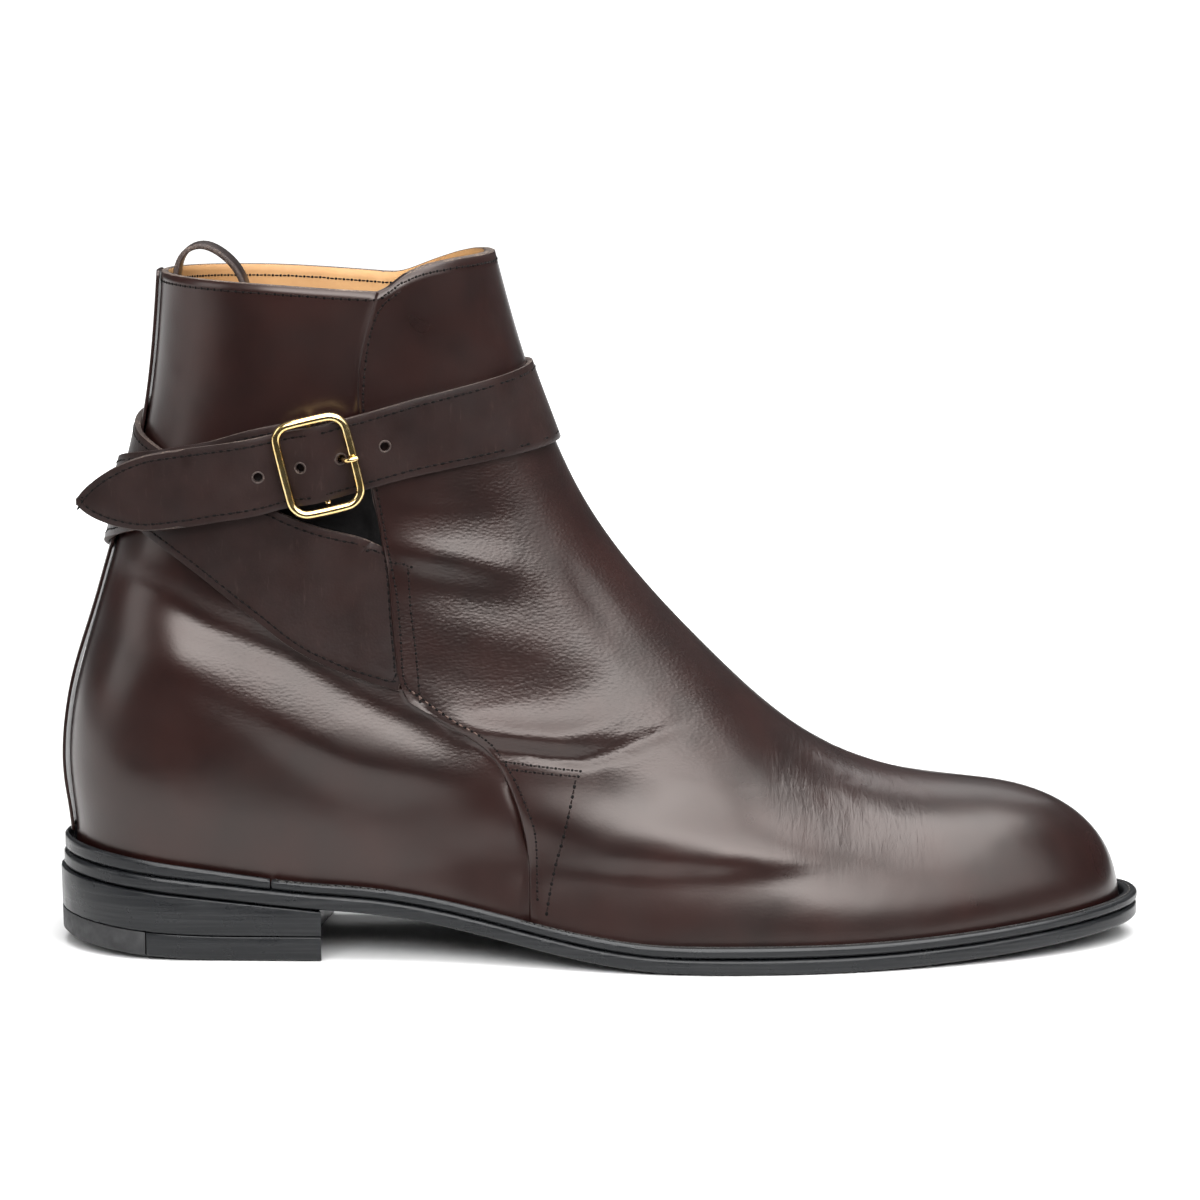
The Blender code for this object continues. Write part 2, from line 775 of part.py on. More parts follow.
def makeUpper(leather):
    grid, onVamp = upperGrid()
    normals = gridNormals(grid, True)
    v = np.linspace(0.0, 1.0, UPPER_ROWS)
    level = smooth(v / 0.08) * smooth((1.0 - v) / 0.08)
    normals[..., 2] *= level[:, None]
    normals /= np.linalg.norm(normals, axis=2)[..., None]
    outer = grid + normals * (onVamp * VAMP_STEP)[None, :, None]
    inner = grid - normals * WALL
    return shell("upper", outer, inner, leather, True)


# Straps

LONG_HEIGHT = spline(LONG_STRAP, 1)
LONG_FLARE = spline(LONG_STRAP, 2)


def shaftPoint(turn, z, out=0.0):
    """A point round the level section at height z, with out measured square to the leather."""

    def bare(turnNow, zNow):
        angle = math.radians(turnNow)
        side = -1 if math.sin(angle) >= 0.0 else 1
        widest, toBack, toFront, half, power = shaftSection(zNow, side)
        ahead = math.cos(angle) >= 0.0
        power = float(power) if ahead else BACK_POWER
        reach = float(toFront if ahead else toBack)
        cosine = abs(math.cos(angle)) / reach
        sine = abs(math.sin(angle)) / float(half)
        radius = (cosine**power + sine**power) ** (-1.0 / power)
        return np.array([float(widest) + radius * math.cos(angle), -radius * math.sin(angle), zNow])

    base = bare(turn, z)
    if out == 0.0:
        return base
    along = bare(turn + 1.0, z) - bare(turn - 1.0, z)
    up = bare(turn, z + 0.001) - bare(turn, z - 0.001)
    normal = np.cross(up, along)
    return base + out * normal / np.linalg.norm(normal)


def stripLift(turn):
    off = abs((turn % 360.0) - 180.0)
    return (STRIP_THICKNESS + GAP) * float(smooth((28.0 - off) / 12.0))


def strapHalf(flare):
    return STRAP_WIDTH / 2.0 + (ROOT_WIDTH - STRAP_WIDTH) / 2.0 * max(float(flare), 0.0)


def longLift(key, z):
    """What lies between the leather and the long strap."""
    keys = [row[0] for row in LONG_STRAP]
    under = float(np.interp(key, keys, [row[3] for row in LONG_STRAP]))
    vamp = float(np.interp(key, keys, [row[4] for row in LONG_STRAP]))
    return under * (STRAP_THICKNESS + GAP) + vamp * VAMP_STEP


def buckleLift(key, z):
    """The buckle strap rides over the long strap's first turn and drapes off its edges."""
    turn = -key % 360.0
    centre = SEAT + SHAFT_RISE * float(LONG_HEIGHT(turn))
    reach = strapHalf(LONG_FLARE(turn)) + DRAPE_CLEARANCE + DRAPE
    layer = (STRAP_THICKNESS + 2.0 * GAP) * (1.0 - float(smooth((key - DROP_FROM) / DROP_TURN)))
    return layer * float(smooth((reach - abs(z - centre)) / DRAPE))


def strapStations(keys):
    """The table's own turns with even steps between them."""
    runs = []
    for first, second in zip(keys, keys[1:]):
        steps = max(1, round((second - first) / STRAP_STEP))
        runs.append(np.linspace(first, second, steps + 1)[:-1])
    return np.concatenate([*runs, keys[-1:]])


def rootShift(turn, z):
    """Turn added at the root, so that the strap ends along the vamp's rear edge."""
    order = math.copysign(1.0, turn)
    turns = np.linspace(15.0, 75.0, 61)
    x = np.array([shaftPoint(order * t, z)[0] for t in turns])
    edge = float(vampEdgeX(z)) - 2.0 * STEP_RUN
    return order * float(np.interp(-edge, -x, turns)) - turn


def strapRows(rows, lift):
    """Middle surface of a strap that lies round the shaft: rows of points across it, and thicknesses."""
    order = math.copysign(1.0, rows[-1][0] - rows[0][0])
    table = [(order * row[0], *row[1:]) for row in rows]
    height = spline(table, 1)
    flare = spline(table, 2)
    firstKey = table[0][0]
    lastKey = table[-1][0]
    grid = []
    thickness = []
    for key in strapStations([row[0] for row in table]):
        turn = order * key
        z = SEAT + SHAFT_RISE * float(height(key))
        start = float(smooth((key - firstKey) / ROOT_FLARE_TURN))
        skived = float(smooth((key - firstKey) / (ROOT_FLARE_TURN / 2.0)))
        thick = ROOT_THICKNESS + (STRAP_THICKNESS - ROOT_THICKNESS) * skived
        half = strapHalf(flare(key))
        near = max(key - 1.0, firstKey)
        far = min(key + 1.0, lastKey)
        before = shaftPoint(order * near, SEAT + SHAFT_RISE * float(height(near)))
        after = shaftPoint(order * far, SEAT + SHAFT_RISE * float(height(far)))
        level = shaftPoint(turn + order, z) - shaftPoint(turn - order, z)
        perDegree = np.linalg.norm(level) / 2.0
        slope = math.atan2(after[2] - before[2], np.linalg.norm((after - before)[:2])) * start
        row = []
        for u in np.linspace(-1.0, 1.0, STRAP_COLUMNS + 1):
            shift = -order * u * half * math.sin(slope) / perDegree
            high = z + u * half * math.cos(slope)
            if start < 1.0:
                shift += rootShift(order * firstKey, high) * (1.0 - start)
            out = GAP + thick / 2.0 + lift(key, high) + stripLift(turn + shift)
            row.append((turn + shift, high, out))
        grid.append(row)
        thickness.append(thick)
    return grid, thickness


def placed(grid):
    return np.array([[shaftPoint(*point) for point in row] for row in grid])


def halfPoint(distance, half):
    """Half width of a strap at a distance from the end of its rounded point."""
    return half * (1.0 - (1.0 - min(distance / TIP_POINT, 1.0)) ** TIP_POWER) ** (1.0 / TIP_POWER)


def withTip(grid):
    """The strap's end, which leaves the shaft straight and curls slightly inwards."""
    rows = list(grid)
    last = grid[-1]
    centre = last[len(last) // 2]
    before = grid[-2][len(last) // 2]
    along = (centre - before) / np.linalg.norm(centre - before)
    across = (last[-1] - last[0]) / np.linalg.norm(last[-1] - last[0])
    out = np.cross(along, across)
    if out[1] > 0.0:
        out = -out
    steps = 12
    place = np.array(centre)
    ends = TIP_LENGTH * np.sin(np.linspace(0.0, math.pi / 2.0, steps + 1))
    for i in range(1, steps + 1):
        angle = math.radians(TIP_CURL) * ends[i] / TIP_LENGTH
        direction = along * math.cos(angle) - out * math.sin(angle)
        place = place + direction * (ends[i] - ends[i - 1])
        left = TIP_LENGTH - ends[i]
        half = halfPoint(max(left, 0.0004), STRAP_WIDTH / 2.0)
        u = np.linspace(-1.0, 1.0, len(last))
        rows.append(place + across * (u * half)[:, None])
    return np.array(rows)


def strapShell(name, grid, thickness, finishMaterial):
    normals = gridNormals(grid, False)
    half = np.array(thickness)[:, None, None] / 2.0
    return shell(name, grid + normals * half, grid - normals * half, finishMaterial, False)


def buckleFrame():
    """Centre of the buckle on the leather, direction towards the strap's root, across and outwards."""

    def at(turn, lift):
        return shaftPoint(turn, SEAT + SHAFT_RISE * float(LONG_HEIGHT(turn)), lift)

    turn = BUCKLE_TURN + 360.0
    place = at(turn, 0.0)
    along = at(turn - 0.5, 0.0) - at(turn + 0.5, 0.0)
    along /= np.linalg.norm(along)
    outwards = at(turn, 0.001) - place
    outwards /= np.linalg.norm(outwards)
    across = np.cross(outwards, along)
    across /= np.linalg.norm(across)
    return place, along, across, outwards


def cutter(name, place, direction, radius, length):
    bm = bmesh.new()
    bmesh.ops.create_cone(
        bm, cap_ends=True, segments=12, radius1=radius, radius2=radius, depth=length
    )
    turn = Vector((0.0, 0.0, 1.0)).rotation_difference(Vector(direction)).to_matrix().to_4x4()
    bmesh.ops.transform(bm, matrix=Matrix.Translation(Vector(place)) @ turn, verts=bm.verts)
    mesh = bpy.data.meshes.new(name)
    bm.to_mesh(mesh)
    bm.free()
    obj = bpy.data.objects.new(name, mesh)
    obj.location = (-ORIGIN_X, 0.0, 0.0)
    obj.hide_render = True
    obj.display_type = "WIRE"
    bpy.context.scene.collection.objects.link(obj)
    return obj


def boolean(obj, other, operation):
    modifier = obj.modifiers.new(other.name, "BOOLEAN")
    modifier.object = other
    modifier.operation = operation
    modifier.solver = "EXACT"


def makeLongStrap(leather):
    rows, thickness = strapRows(LONG_STRAP, longLift)
    grid = withTip(placed(rows))
    thickness += [STRAP_THICKNESS] * (len(grid) - len(rows))
    strap = strapShell("long_strap", grid, thickness, leather)
    centre = grid.shape[1] // 2
    middle = grid[:, centre]
    length = np.concatenate([[0.0], np.cumsum(np.linalg.norm(np.diff(middle, axis=0), axis=1))])
    normals = gridNormals(grid, False)[:, centre]
    turns = strapStations([row[0] for row in LONG_STRAP])
    buckleAt = float(np.interp(BUCKLE_TURN + 360.0, turns, length[: len(turns)]))
    prongHole = buckleAt - BUCKLE_LENGTH * HOLE_AHEAD
    for i, step in enumerate((-1, 0, 1, 2)):
        where = prongHole + step * HOLE_SPACING
        place = [np.interp(where, length, middle[:, axis]) for axis in range(3)]
        normal = [np.interp(where, length, normals[:, axis]) for axis in range(3)]
        hole = cutter(f"hole_cutter_{i + 1}", place, normal, HOLE_DIAMETER / 2.0, 4.0 * STRAP_THICKNESS)
        boolean(strap, hole, "DIFFERENCE")
    return strap


def makeBuckleStrap(leather):
    rows, thickness = strapRows(BUCKLE_STRAP, buckleLift)
    return strapShell("buckle_strap", placed(rows), thickness, leather)


def makeBackStrip(leather):
    """A strip over the back seam, laid on the upper's own surface."""
    rows = []
    fine = np.linspace(0.0, 0.35, 300) ** 2
    lowest = (RAND_THICKNESS + 3.0 * GAP) / SHAFT_RISE
    for v in np.linspace(lowest, 1.0, 24):
        row = []
        for y in np.linspace(-STRIP_WIDTH / 2.0, STRIP_WIDTH / 2.0, 7):
            side = -1 if y < 0.0 else 1
            points = upperPoints(fine, v, side)
            share = np.interp(abs(y), np.abs(points[:, 1]), fine)
            row.append(upperPoints(np.array([share]), v, side)[0])
        rows.append(row)
    grid = np.array(rows)
    normals = gridNormals(grid, False)
    if normals[0, 3, 0] > 0.0:
        normals = -normals
    near = grid + normals * GAP
    return shell("back_strip", grid + normals * (GAP + STRIP_THICKNESS), near, leather, False)


def makePullLoop(leather):
    """A loop of leather sewn to the lining at the back of the collar."""
    top = SEAT + SHAFT_RISE
    points = []
    for ahead, above in PULL_LOOP:
        z = top + above * LOOP_RISE
        wall = float(backX(min(z, top))) + WALL + GAP + LOOP_THICKNESS
        points.append((wall + ahead * LOOP_RISE, z))
    path = curveThrough(points, 34)
    y = np.linspace(-LOOP_WIDTH / 2.0, LOOP_WIDTH / 2.0, 4)
    grid = np.array([[(x, across, z) for across in y] for x, z in path])
    thickness = np.full(len(path), LOOP_THICKNESS)
    return strapShell("pull_loop", grid, thickness, leather)


# Buckle

CENTRE_BAR_LIFT = GAP + STRAP_THICKNESS + GAP + CENTRE_BAR / 2.0


def buckleLocal(points):
    """From along, across and height over the leather to the boot's own frame."""
    place, along, across, outwards = buckleFrame()
    points = np.array(points, float)
    drop = points[:, 0] ** 2 / (2.0 * BUCKLE_CROWN)
    return (
        place
        + points[:, :1] * along
        + points[:, 1:2] * across
        + (points[:, 2:3] - drop[:, None]) * outwards
    )


def roundBar(name, path, square, radius, closed, finishMaterial, sides=8):
    """A round bar along a path; square is a direction that the path never follows."""
    path = np.array(path, float)
    if closed:
        along = np.roll(path, -1, axis=0) - np.roll(path, 1, axis=0)
    else:
        along = np.gradient(path, axis=0)
    along /= np.linalg.norm(along, axis=1)[:, None]
    first = np.cross(along, square)
    first /= np.linalg.norm(first, axis=1)[:, None]
    second = np.cross(along, first)
    angles = np.linspace(0.0, 2.0 * math.pi, sides, endpoint=False)
    bm = bmesh.new()
    rings = []
    for centre, a, b in zip(path, first, second):
        ring = [centre + radius * (math.cos(t) * a + math.sin(t) * b) for t in angles]
        rings.append(addRing(bm, ring))
    for one, two in zip(rings, rings[1:]):
        joinRings(bm, one, two)
    if closed:
        joinRings(bm, rings[-1], rings[0])
    else:
        bm.faces.new(rings[0])
        bm.faces.new(rings[-1])
    return finish(name, bm, finishMaterial)


def roundedRectangle(length, height, corner, steps=5):
    points = []
    for cx, cy, start in ((1, 1, 0), (-1, 1, 90), (-1, -1, 180), (1, -1, 270)):
        for k in range(steps + 1):
            angle = math.radians(start + 90.0 * k / steps)
            x = cx * (length / 2.0 - corner) + corner * math.cos(angle)
            y = cy * (height / 2.0 - corner) + corner * math.sin(angle)
            points.append((x, y, BUCKLE_LIFT))
    return points


def makeBuckle(brass):
    _, along, _, outwards = buckleFrame()
    inner = BUCKLE_CORNER - BUCKLE_BAR / 2.0
    outline = roundedRectangle(BUCKLE_LENGTH - BUCKLE_BAR, BUCKLE_HEIGHT - BUCKLE_BAR, inner)
    frame = roundBar("buckle_frame", buckleLocal(outline), outwards, BUCKLE_BAR / 2.0, True, brass)
    reach = (BUCKLE_HEIGHT - BUCKLE_BAR) / 2.0
    leg = [
        (reach, BUCKLE_LIFT),
        (reach - 0.0003, BUCKLE_LIFT - 0.0016),
        (reach - 0.0006, CENTRE_BAR_LIFT + 0.0009),
        (reach - 0.0014, CENTRE_BAR_LIFT),
    ]
    bar = [(0.0, -y, h) for y, h in leg] + [(0.0, y, h) for y, h in leg[::-1]]
    centre = roundBar("centre_bar_shape", buckleLocal(bar), along, CENTRE_BAR / 2.0, False, brass)
    centre.hide_render = True
    centre.display_type = "WIRE"
    boolean(frame, centre, "UNION")
    return frame


def makeProng(brass):
    """The prong leaves the centre bar, comes up through the strap's hole and lies on the front bar."""
    hole = BUCKLE_LENGTH * HOLE_AHEAD
    frontBar = (BUCKLE_LENGTH - BUCKLE_BAR) / 2.0
    top = BUCKLE_LIFT + BUCKLE_BAR / 2.0 + GAP + PRONG_DIAMETER / 2.0
    start = CENTRE_BAR / 2.0 + GAP + PRONG_DIAMETER / 4.0
    route = curveThrough(
        [
            (start, CENTRE_BAR_LIFT),
            (hole - 0.0026, CENTRE_BAR_LIFT - 0.0006),
            (hole - 0.0006, CENTRE_BAR_LIFT + 0.0004),
            (hole + 0.0001, CENTRE_BAR_LIFT + 0.0030),
            (hole + 0.0007, top - 0.0014),
            (hole + 0.0018, top - 0.0002),
            (frontBar, top),
            (frontBar + 0.0014, top - 0.0002),
        ],
        16,
    )
    path = buckleLocal([(a, 0.0, h) for a, h in route])
    return roundBar("buckle_prong", path, buckleFrame()[2], PRONG_DIAMETER / 2.0, False, brass)


def main():
    clearScene()
    calf = material("calf_leather", (0.045, 0.018, 0.014), 0.28)
    strapCalf = material("strap_leather", (0.060, 0.028, 0.022), 0.42)
    edgeBlack = material("sole_edge", (0.012, 0.012, 0.013), 0.32)
    stackBlack = material("heel_edge", (0.014, 0.014, 0.015), 0.34)
    rubber = material("heel_rubber", (0.016, 0.016, 0.017), 0.60)
    lining = material("lining_leather", (0.52, 0.30, 0.12), 0.60)
    brass = material("brass", (0.80, 0.58, 0.24), 0.16, 1.0)
    makeOutsole(edgeBlack)
    makeWelt(edgeBlack)
    makeHeelRand(edgeBlack)
    makeHeel(stackBlack, rubber)
    makeInsole(lining)
    makeUpper(calf)
    makeBackStrip(calf)
    makeLongStrap(strapCalf)
    makeBuckleStrap(strapCalf)
    makePullLoop(strapCalf)
    makeBuckle(brass)
    makeProng(brass)


main()
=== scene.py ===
import math

import bmesh
import bpy
import numpy as np
from mathutils import Matrix, Vector
from mathutils.bvhtree import BVHTree


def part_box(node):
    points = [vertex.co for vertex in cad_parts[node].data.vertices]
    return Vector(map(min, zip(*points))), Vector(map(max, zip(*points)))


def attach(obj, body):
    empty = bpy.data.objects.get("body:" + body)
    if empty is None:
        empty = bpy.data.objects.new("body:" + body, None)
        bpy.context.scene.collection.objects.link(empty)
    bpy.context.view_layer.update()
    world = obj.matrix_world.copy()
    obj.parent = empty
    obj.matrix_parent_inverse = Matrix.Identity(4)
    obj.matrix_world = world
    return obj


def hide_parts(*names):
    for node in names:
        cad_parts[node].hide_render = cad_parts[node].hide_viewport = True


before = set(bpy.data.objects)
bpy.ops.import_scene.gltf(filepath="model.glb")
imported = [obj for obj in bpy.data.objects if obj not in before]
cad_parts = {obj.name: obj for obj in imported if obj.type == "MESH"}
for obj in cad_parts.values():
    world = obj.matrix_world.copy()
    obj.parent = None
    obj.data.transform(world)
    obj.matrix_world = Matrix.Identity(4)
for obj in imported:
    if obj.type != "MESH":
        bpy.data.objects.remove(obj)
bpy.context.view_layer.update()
scene = bpy.context.scene
heelBack = -0.062                           # where the boot's own lengths start, in the frame
outerSide, innerSide = -1.0, 1.0

print("stage: camera, floor and light")

camera = {
    "place": (0.1548, -1.346, 0.2976),      # metres from the heel's back, the boot's middle and the floor
    "pitch": 8.449,
    "focal": 143.07,
    "sensor": 36.0,
}
studio = {
    "floor": (0.66, 0.66, 0.66),
    "floorRough": 0.9,
    "floorSize": 15.0,                      # half the floor's side
    "under": 0.0002,                        # metres under the heel, so that the two don't share a plane
    "front": -0.18,                         # the paper nearer than this doesn't mirror in the leather
    "fade": (0.22, 0.80),                   # the far floor goes over into a lit white paper
    "sky": (0.06, 0.28),                    # brightness at the horizon and overhead
    "skyFrom": 0.05,                        # where it starts and stops brightening, 1 being straight up
    "skyTo": 0.85,
}
lamps = {
    "key": {"at": (0.14, -1.12, 0.88), "to": (0.10, 0.0, 0.08), "size": (1.6, 0.75), "power": 26.0},
    "veil": {"at": (0.12, -1.28, 0.72), "to": (0.10, 0.0, 0.08), "size": (1.8, 0.45), "power": 8.0},
    "top": {"at": (0.30, -0.16, 1.25), "to": (0.30, -0.10, 0.0), "size": (1.4, 1.05), "power": 32.0},
    "right": {"at": (1.12, -0.70, 0.85), "to": (0.18, 0.0, 0.05), "size": (0.9, 0.9), "power": 6.0},
    "left": {"at": (-1.00, -0.30, 0.45), "to": (0.0, 0.0, 0.08), "size": (0.5, 0.6), "power": 2.2},
    "back": {"at": (0.30, 1.10, 1.10), "to": (0.1, 0.0, 0.1), "size": (1.2, 0.5), "power": 4.0},
}


def addCamera():
    data = bpy.data.cameras.new("photo_camera")
    data.sensor_width = camera["sensor"]
    data.lens = camera["focal"]
    data.clip_end = 60.0
    obj = bpy.data.objects.new("photo_camera", data)
    x, y, z = camera["place"]
    obj.location = (x + heelBack, y, z)
    obj.rotation_euler = (math.radians(90.0 - camera["pitch"]), 0.0, 0.0)
    scene.collection.objects.link(obj)
    scene.camera = obj


def addFloor():
    mat = makePaper()
    half, front = studio["floorSize"], studio["front"]
    strips = (("studio_floor", front, half, True), ("studio_floor_front", -half, front, False))
    for name, low, high, mirrored in strips:
        bm = bmesh.new()
        bmesh.ops.create_grid(bm, x_segments=1, y_segments=1, size=half)
        bmesh.ops.scale(bm, verts=bm.verts, vec=(1.0, (high - low) / (2.0 * half), 1.0))
        bmesh.ops.translate(bm, verts=bm.verts, vec=(0.0, (high + low) / 2.0, -studio["under"]))
        mesh = bpy.data.meshes.new(name)
        bm.to_mesh(mesh)
        bm.free()
        mesh.materials.append(mat)
        obj = bpy.data.objects.new(name, mesh)
        obj.visible_glossy = mirrored
        scene.collection.objects.link(obj)


def makePaper():
    mat = bpy.data.materials.new("studio_paper")
    mat.use_nodes = True
    nodes, links = mat.node_tree.nodes, mat.node_tree.links
    shader = nodes["Principled BSDF"]
    shader.inputs["Base Color"].default_value = (*studio["floor"], 1.0)
    shader.inputs["Roughness"].default_value = studio["floorRough"]
    shader.inputs["Specular IOR Level"].default_value = 0.1
    coord = nodes.new("ShaderNodeTexCoord")
    away = nodes.new("ShaderNodeVectorMath")
    away.operation = "LENGTH"
    glow = nodes.new("ShaderNodeMapRange")
    glow.interpolation_type = "SMOOTHSTEP"
    glow.inputs["From Min"].default_value, glow.inputs["From Max"].default_value = studio["fade"]
    shader.inputs["Emission Color"].default_value = (1.0, 1.0, 1.0, 1.0)
    links.new(coord.outputs["Object"], away.inputs[0])
    links.new(away.outputs["Value"], glow.inputs["Value"])
    links.new(glow.outputs["Result"], shader.inputs["Emission Strength"])
    return mat


def addLamps():
    for name, lamp in lamps.items():
        data = bpy.data.lights.new(f"lamp_{name}", "AREA")
        data.shape = "RECTANGLE"
        data.size, data.size_y = lamp["size"]
        data.energy = lamp["power"]
        obj = bpy.data.objects.new(f"lamp_{name}", data)
        obj.location = lamp["at"]
        aim = Vector(lamp["to"]) - Vector(lamp["at"])
        obj.rotation_euler = aim.to_track_quat("-Z", "Y").to_euler()
        scene.collection.objects.link(obj)


# a sky that is dim at the horizon and bright overhead, so that the leather gets dark and light bands
def addSky():
    world = bpy.data.worlds.new("studio_sky")
    world.use_nodes = True
    nodes, links = world.node_tree.nodes, world.node_tree.links
    coord = nodes.new("ShaderNodeTexCoord")
    split = nodes.new("ShaderNodeSeparateXYZ")
    ramp = nodes.new("ShaderNodeMapRange")
    ramp.inputs["From Min"].default_value = studio["skyFrom"]
    ramp.inputs["From Max"].default_value = studio["skyTo"]
    ramp.inputs["To Min"].default_value = studio["sky"][0]
    ramp.inputs["To Max"].default_value = studio["sky"][1]
    nodes["Background"].inputs["Color"].default_value = (1.0, 1.0, 1.0, 1.0)
    links.new(coord.outputs["Generated"], split.inputs[0])
    links.new(split.outputs["Z"], ramp.inputs["Value"])
    links.new(ramp.outputs["Result"], nodes["Background"].inputs["Strength"])
    scene.world = world


scene.view_settings.view_transform = "Standard"
addCamera()
addFloor()
addLamps()
addSky()

print("stage: materials")


# a new material, with short ways to add the nodes that the finishes need
class Nodes:
    def __init__(self, name):
        self.material = bpy.data.materials.new(name)
        self.material.use_nodes = True
        self.nodes = self.material.node_tree.nodes
        self.links = self.material.node_tree.links
        self.shader = self.nodes["Principled BSDF"]
        self.place = self.nodes.new("ShaderNodeTexCoord").outputs["Object"]

    def add(self, kind, inputs=None, **settings):
        node = self.nodes.new(kind)
        for key, value in settings.items():
            setattr(node, key, value)
        for key, value in (inputs or {}).items():
            if isinstance(value, bpy.types.NodeSocket):
                self.links.new(value, node.inputs[key])
            else:
                node.inputs[key].default_value = value
        return node

    def set(self, **values):
        for key, value in values.items():
            self.shader.inputs[key.replace("_", " ")].default_value = value

    def stretched(self, scale):
        return self.add("ShaderNodeMapping", {"Vector": self.place, "Scale": scale}).outputs[0]

    def noise(self, scale, detail=3.0, rough=0.55, vector=None, distort=0.0):
        return self.add("ShaderNodeTexNoise", {
            "Vector": vector or self.place, "Scale": scale, "Detail": detail,
            "Roughness": rough, "Distortion": distort,
        }).outputs["Fac"]

    def cells(self, scale, vector=None, smoothness=0.6):
        return self.add("ShaderNodeTexVoronoi", {
            "Vector": vector or self.place, "Scale": scale, "Smoothness": smoothness,
        }, feature="SMOOTH_F1").outputs["Distance"]

    def range(self, value, low, high, toLow=0.0, toHigh=1.0):
        return self.add("ShaderNodeMapRange", {
            "Value": value, "From Min": low, "From Max": high, "To Min": toLow, "To Max": toHigh,
        }).outputs["Result"]

    def maths(self, operation, first, second):
        return self.add("ShaderNodeMath", {0: first, 1: second}, operation=operation).outputs[0]

    def mix(self, share, first, second):
        node = self.add("ShaderNodeMix", data_type="RGBA")
        for socket, value in ((node.inputs[0], share), (node.inputs[6], first), (node.inputs[7], second)):
            if isinstance(value, bpy.types.NodeSocket):
                self.links.new(value, socket)
            else:
                socket.default_value = (*value, 1.0) if isinstance(value, tuple) else value
        return node.outputs[2]

    def colour(self, value):
        self.links.new(value, self.shader.inputs["Base Color"])

    def roughness(self, value):
        self.links.new(value, self.shader.inputs["Roughness"])

    # heights as (socket, strength, depth in metres), coarse first
    def bump(self, *layers):
        normal = None
        for height, strength, depth in layers:
            inputs = {"Height": height, "Strength": strength, "Distance": depth}
            if normal is not None:
                inputs["Normal"] = normal
            normal = self.add("ShaderNodeBump", inputs).outputs["Normal"]
        self.links.new(normal, self.shader.inputs["Normal"])


calf = {
    "deep": (0.0048, 0.0014, 0.0013),
    "base": (0.0115, 0.0031, 0.0026),
    "warm": (0.0270, 0.0066, 0.0046),
    "rough": (0.27, 0.37),
    "mottle": 26.0,                         # scales of the colour's clouds, warm patches and fine specks
    "patch": 60.0,
    "speck": 240.0,
    "wave": (34.0, 0.0010),                 # scale, and depth in metres, of the skin's slow unevenness
    "pebble": 0.00009,                      # depths in metres of the grain's pebbles, wrinkles and pores
    "wrinkle": 0.00028,
    "pore": 0.00003,
    "pebbleSize": (820.0, 1150.0, 1450.0),
    "wrinkleSize": (620.0, 150.0, 120.0),
    "coat": 0.12,
    "dull": 0.40,                           # how much drier the creased parts are
}


# polished calf: soft mottling, a pebbly grain where it creases, fine grain all over
def makeCalf():
    m = Nodes("vamp_calf")
    broad = m.noise(calf["mottle"], 4.0, 0.6)
    fine = m.noise(calf["speck"], 4.0, 0.6)
    colour = m.mix(m.range(broad, 0.32, 0.62), calf["deep"], calf["base"])
    colour = m.mix(m.range(m.noise(calf["patch"], 3.0, 0.5), 0.40, 0.80, 0.0, 0.30), colour, calf["warm"])
    colour = m.mix(m.range(fine, 0.35, 0.75, 0.0, 0.22), colour, calf["deep"])
    m.colour(colour)
    soft = m.add("ShaderNodeAttribute", attribute_name="softGrain").outputs["Fac"]
    flex = m.add("ShaderNodeAttribute", attribute_name="flexGrain").outputs["Fac"]
    dryness = m.maths("ADD", m.noise(40.0, 2.0), m.maths("MULTIPLY", soft, calf["dull"]))
    m.roughness(m.range(dryness, 0.3, 0.9, *calf["rough"]))
    pebble = m.cells(1.0, m.stretched(calf["pebbleSize"]))
    pebble = m.maths("ADD", pebble, m.maths("MULTIPLY", m.noise(300.0, 2.0), 0.8))
    pebble = m.maths("MULTIPLY", pebble, m.range(soft, 0.0, 1.0, 0.10, 1.0))
    wrinkle = m.noise(1.0, 3.0, 0.6, m.stretched(calf["wrinkleSize"]), 0.6)
    wrinkle = m.maths("MULTIPLY", wrinkle, flex)
    scale, depth = calf["wave"]
    m.bump(
        (m.noise(scale, 2.0), 0.5, depth),
        (wrinkle, 0.5, calf["wrinkle"]),
        (pebble, 0.85, calf["pebble"]),
        (m.noise(1500.0, 2.0), 0.25, calf["pore"]),
    )
    m.set(Coat_Weight=calf["coat"], Coat_Roughness=0.20)
    m.set(Specular_IOR_Level=0.5, Specular_Tint=(1.0, 0.90, 0.85, 1.0))
    return m.material


strapCalf = {
    "deep": (0.0090, 0.0045, 0.0040),
    "base": (0.0165, 0.0082, 0.0072),
    "pale": (0.0500, 0.0310, 0.0260),
    "rough": (0.34, 0.46),
}


# straps: waxy and drier than the upper, with a faint unevenness and a few scuffs
def makeStrapLeather():
    m = Nodes("strap_calf")
    colour = m.mix(m.range(m.noise(45.0, 4.0), 0.35, 0.65), strapCalf["deep"], strapCalf["base"])
    scuff = m.noise(1.0, 4.0, 0.7, m.stretched((900.0, 900.0, 120.0)))
    colour = m.mix(m.range(scuff, 0.60, 0.80, 0.0, 0.45), colour, strapCalf["pale"])
    m.colour(colour)
    m.roughness(m.range(m.noise(130.0), 0.3, 0.7, *strapCalf["rough"]))
    m.bump(
        (m.noise(70.0, 3.0), 0.5, 0.0005),
        (m.cells(1300.0), 0.5, 0.00006),
    )
    m.set(Coat_Weight=0.04, Coat_Roughness=0.25, Specular_IOR_Level=0.22)
    return m.material


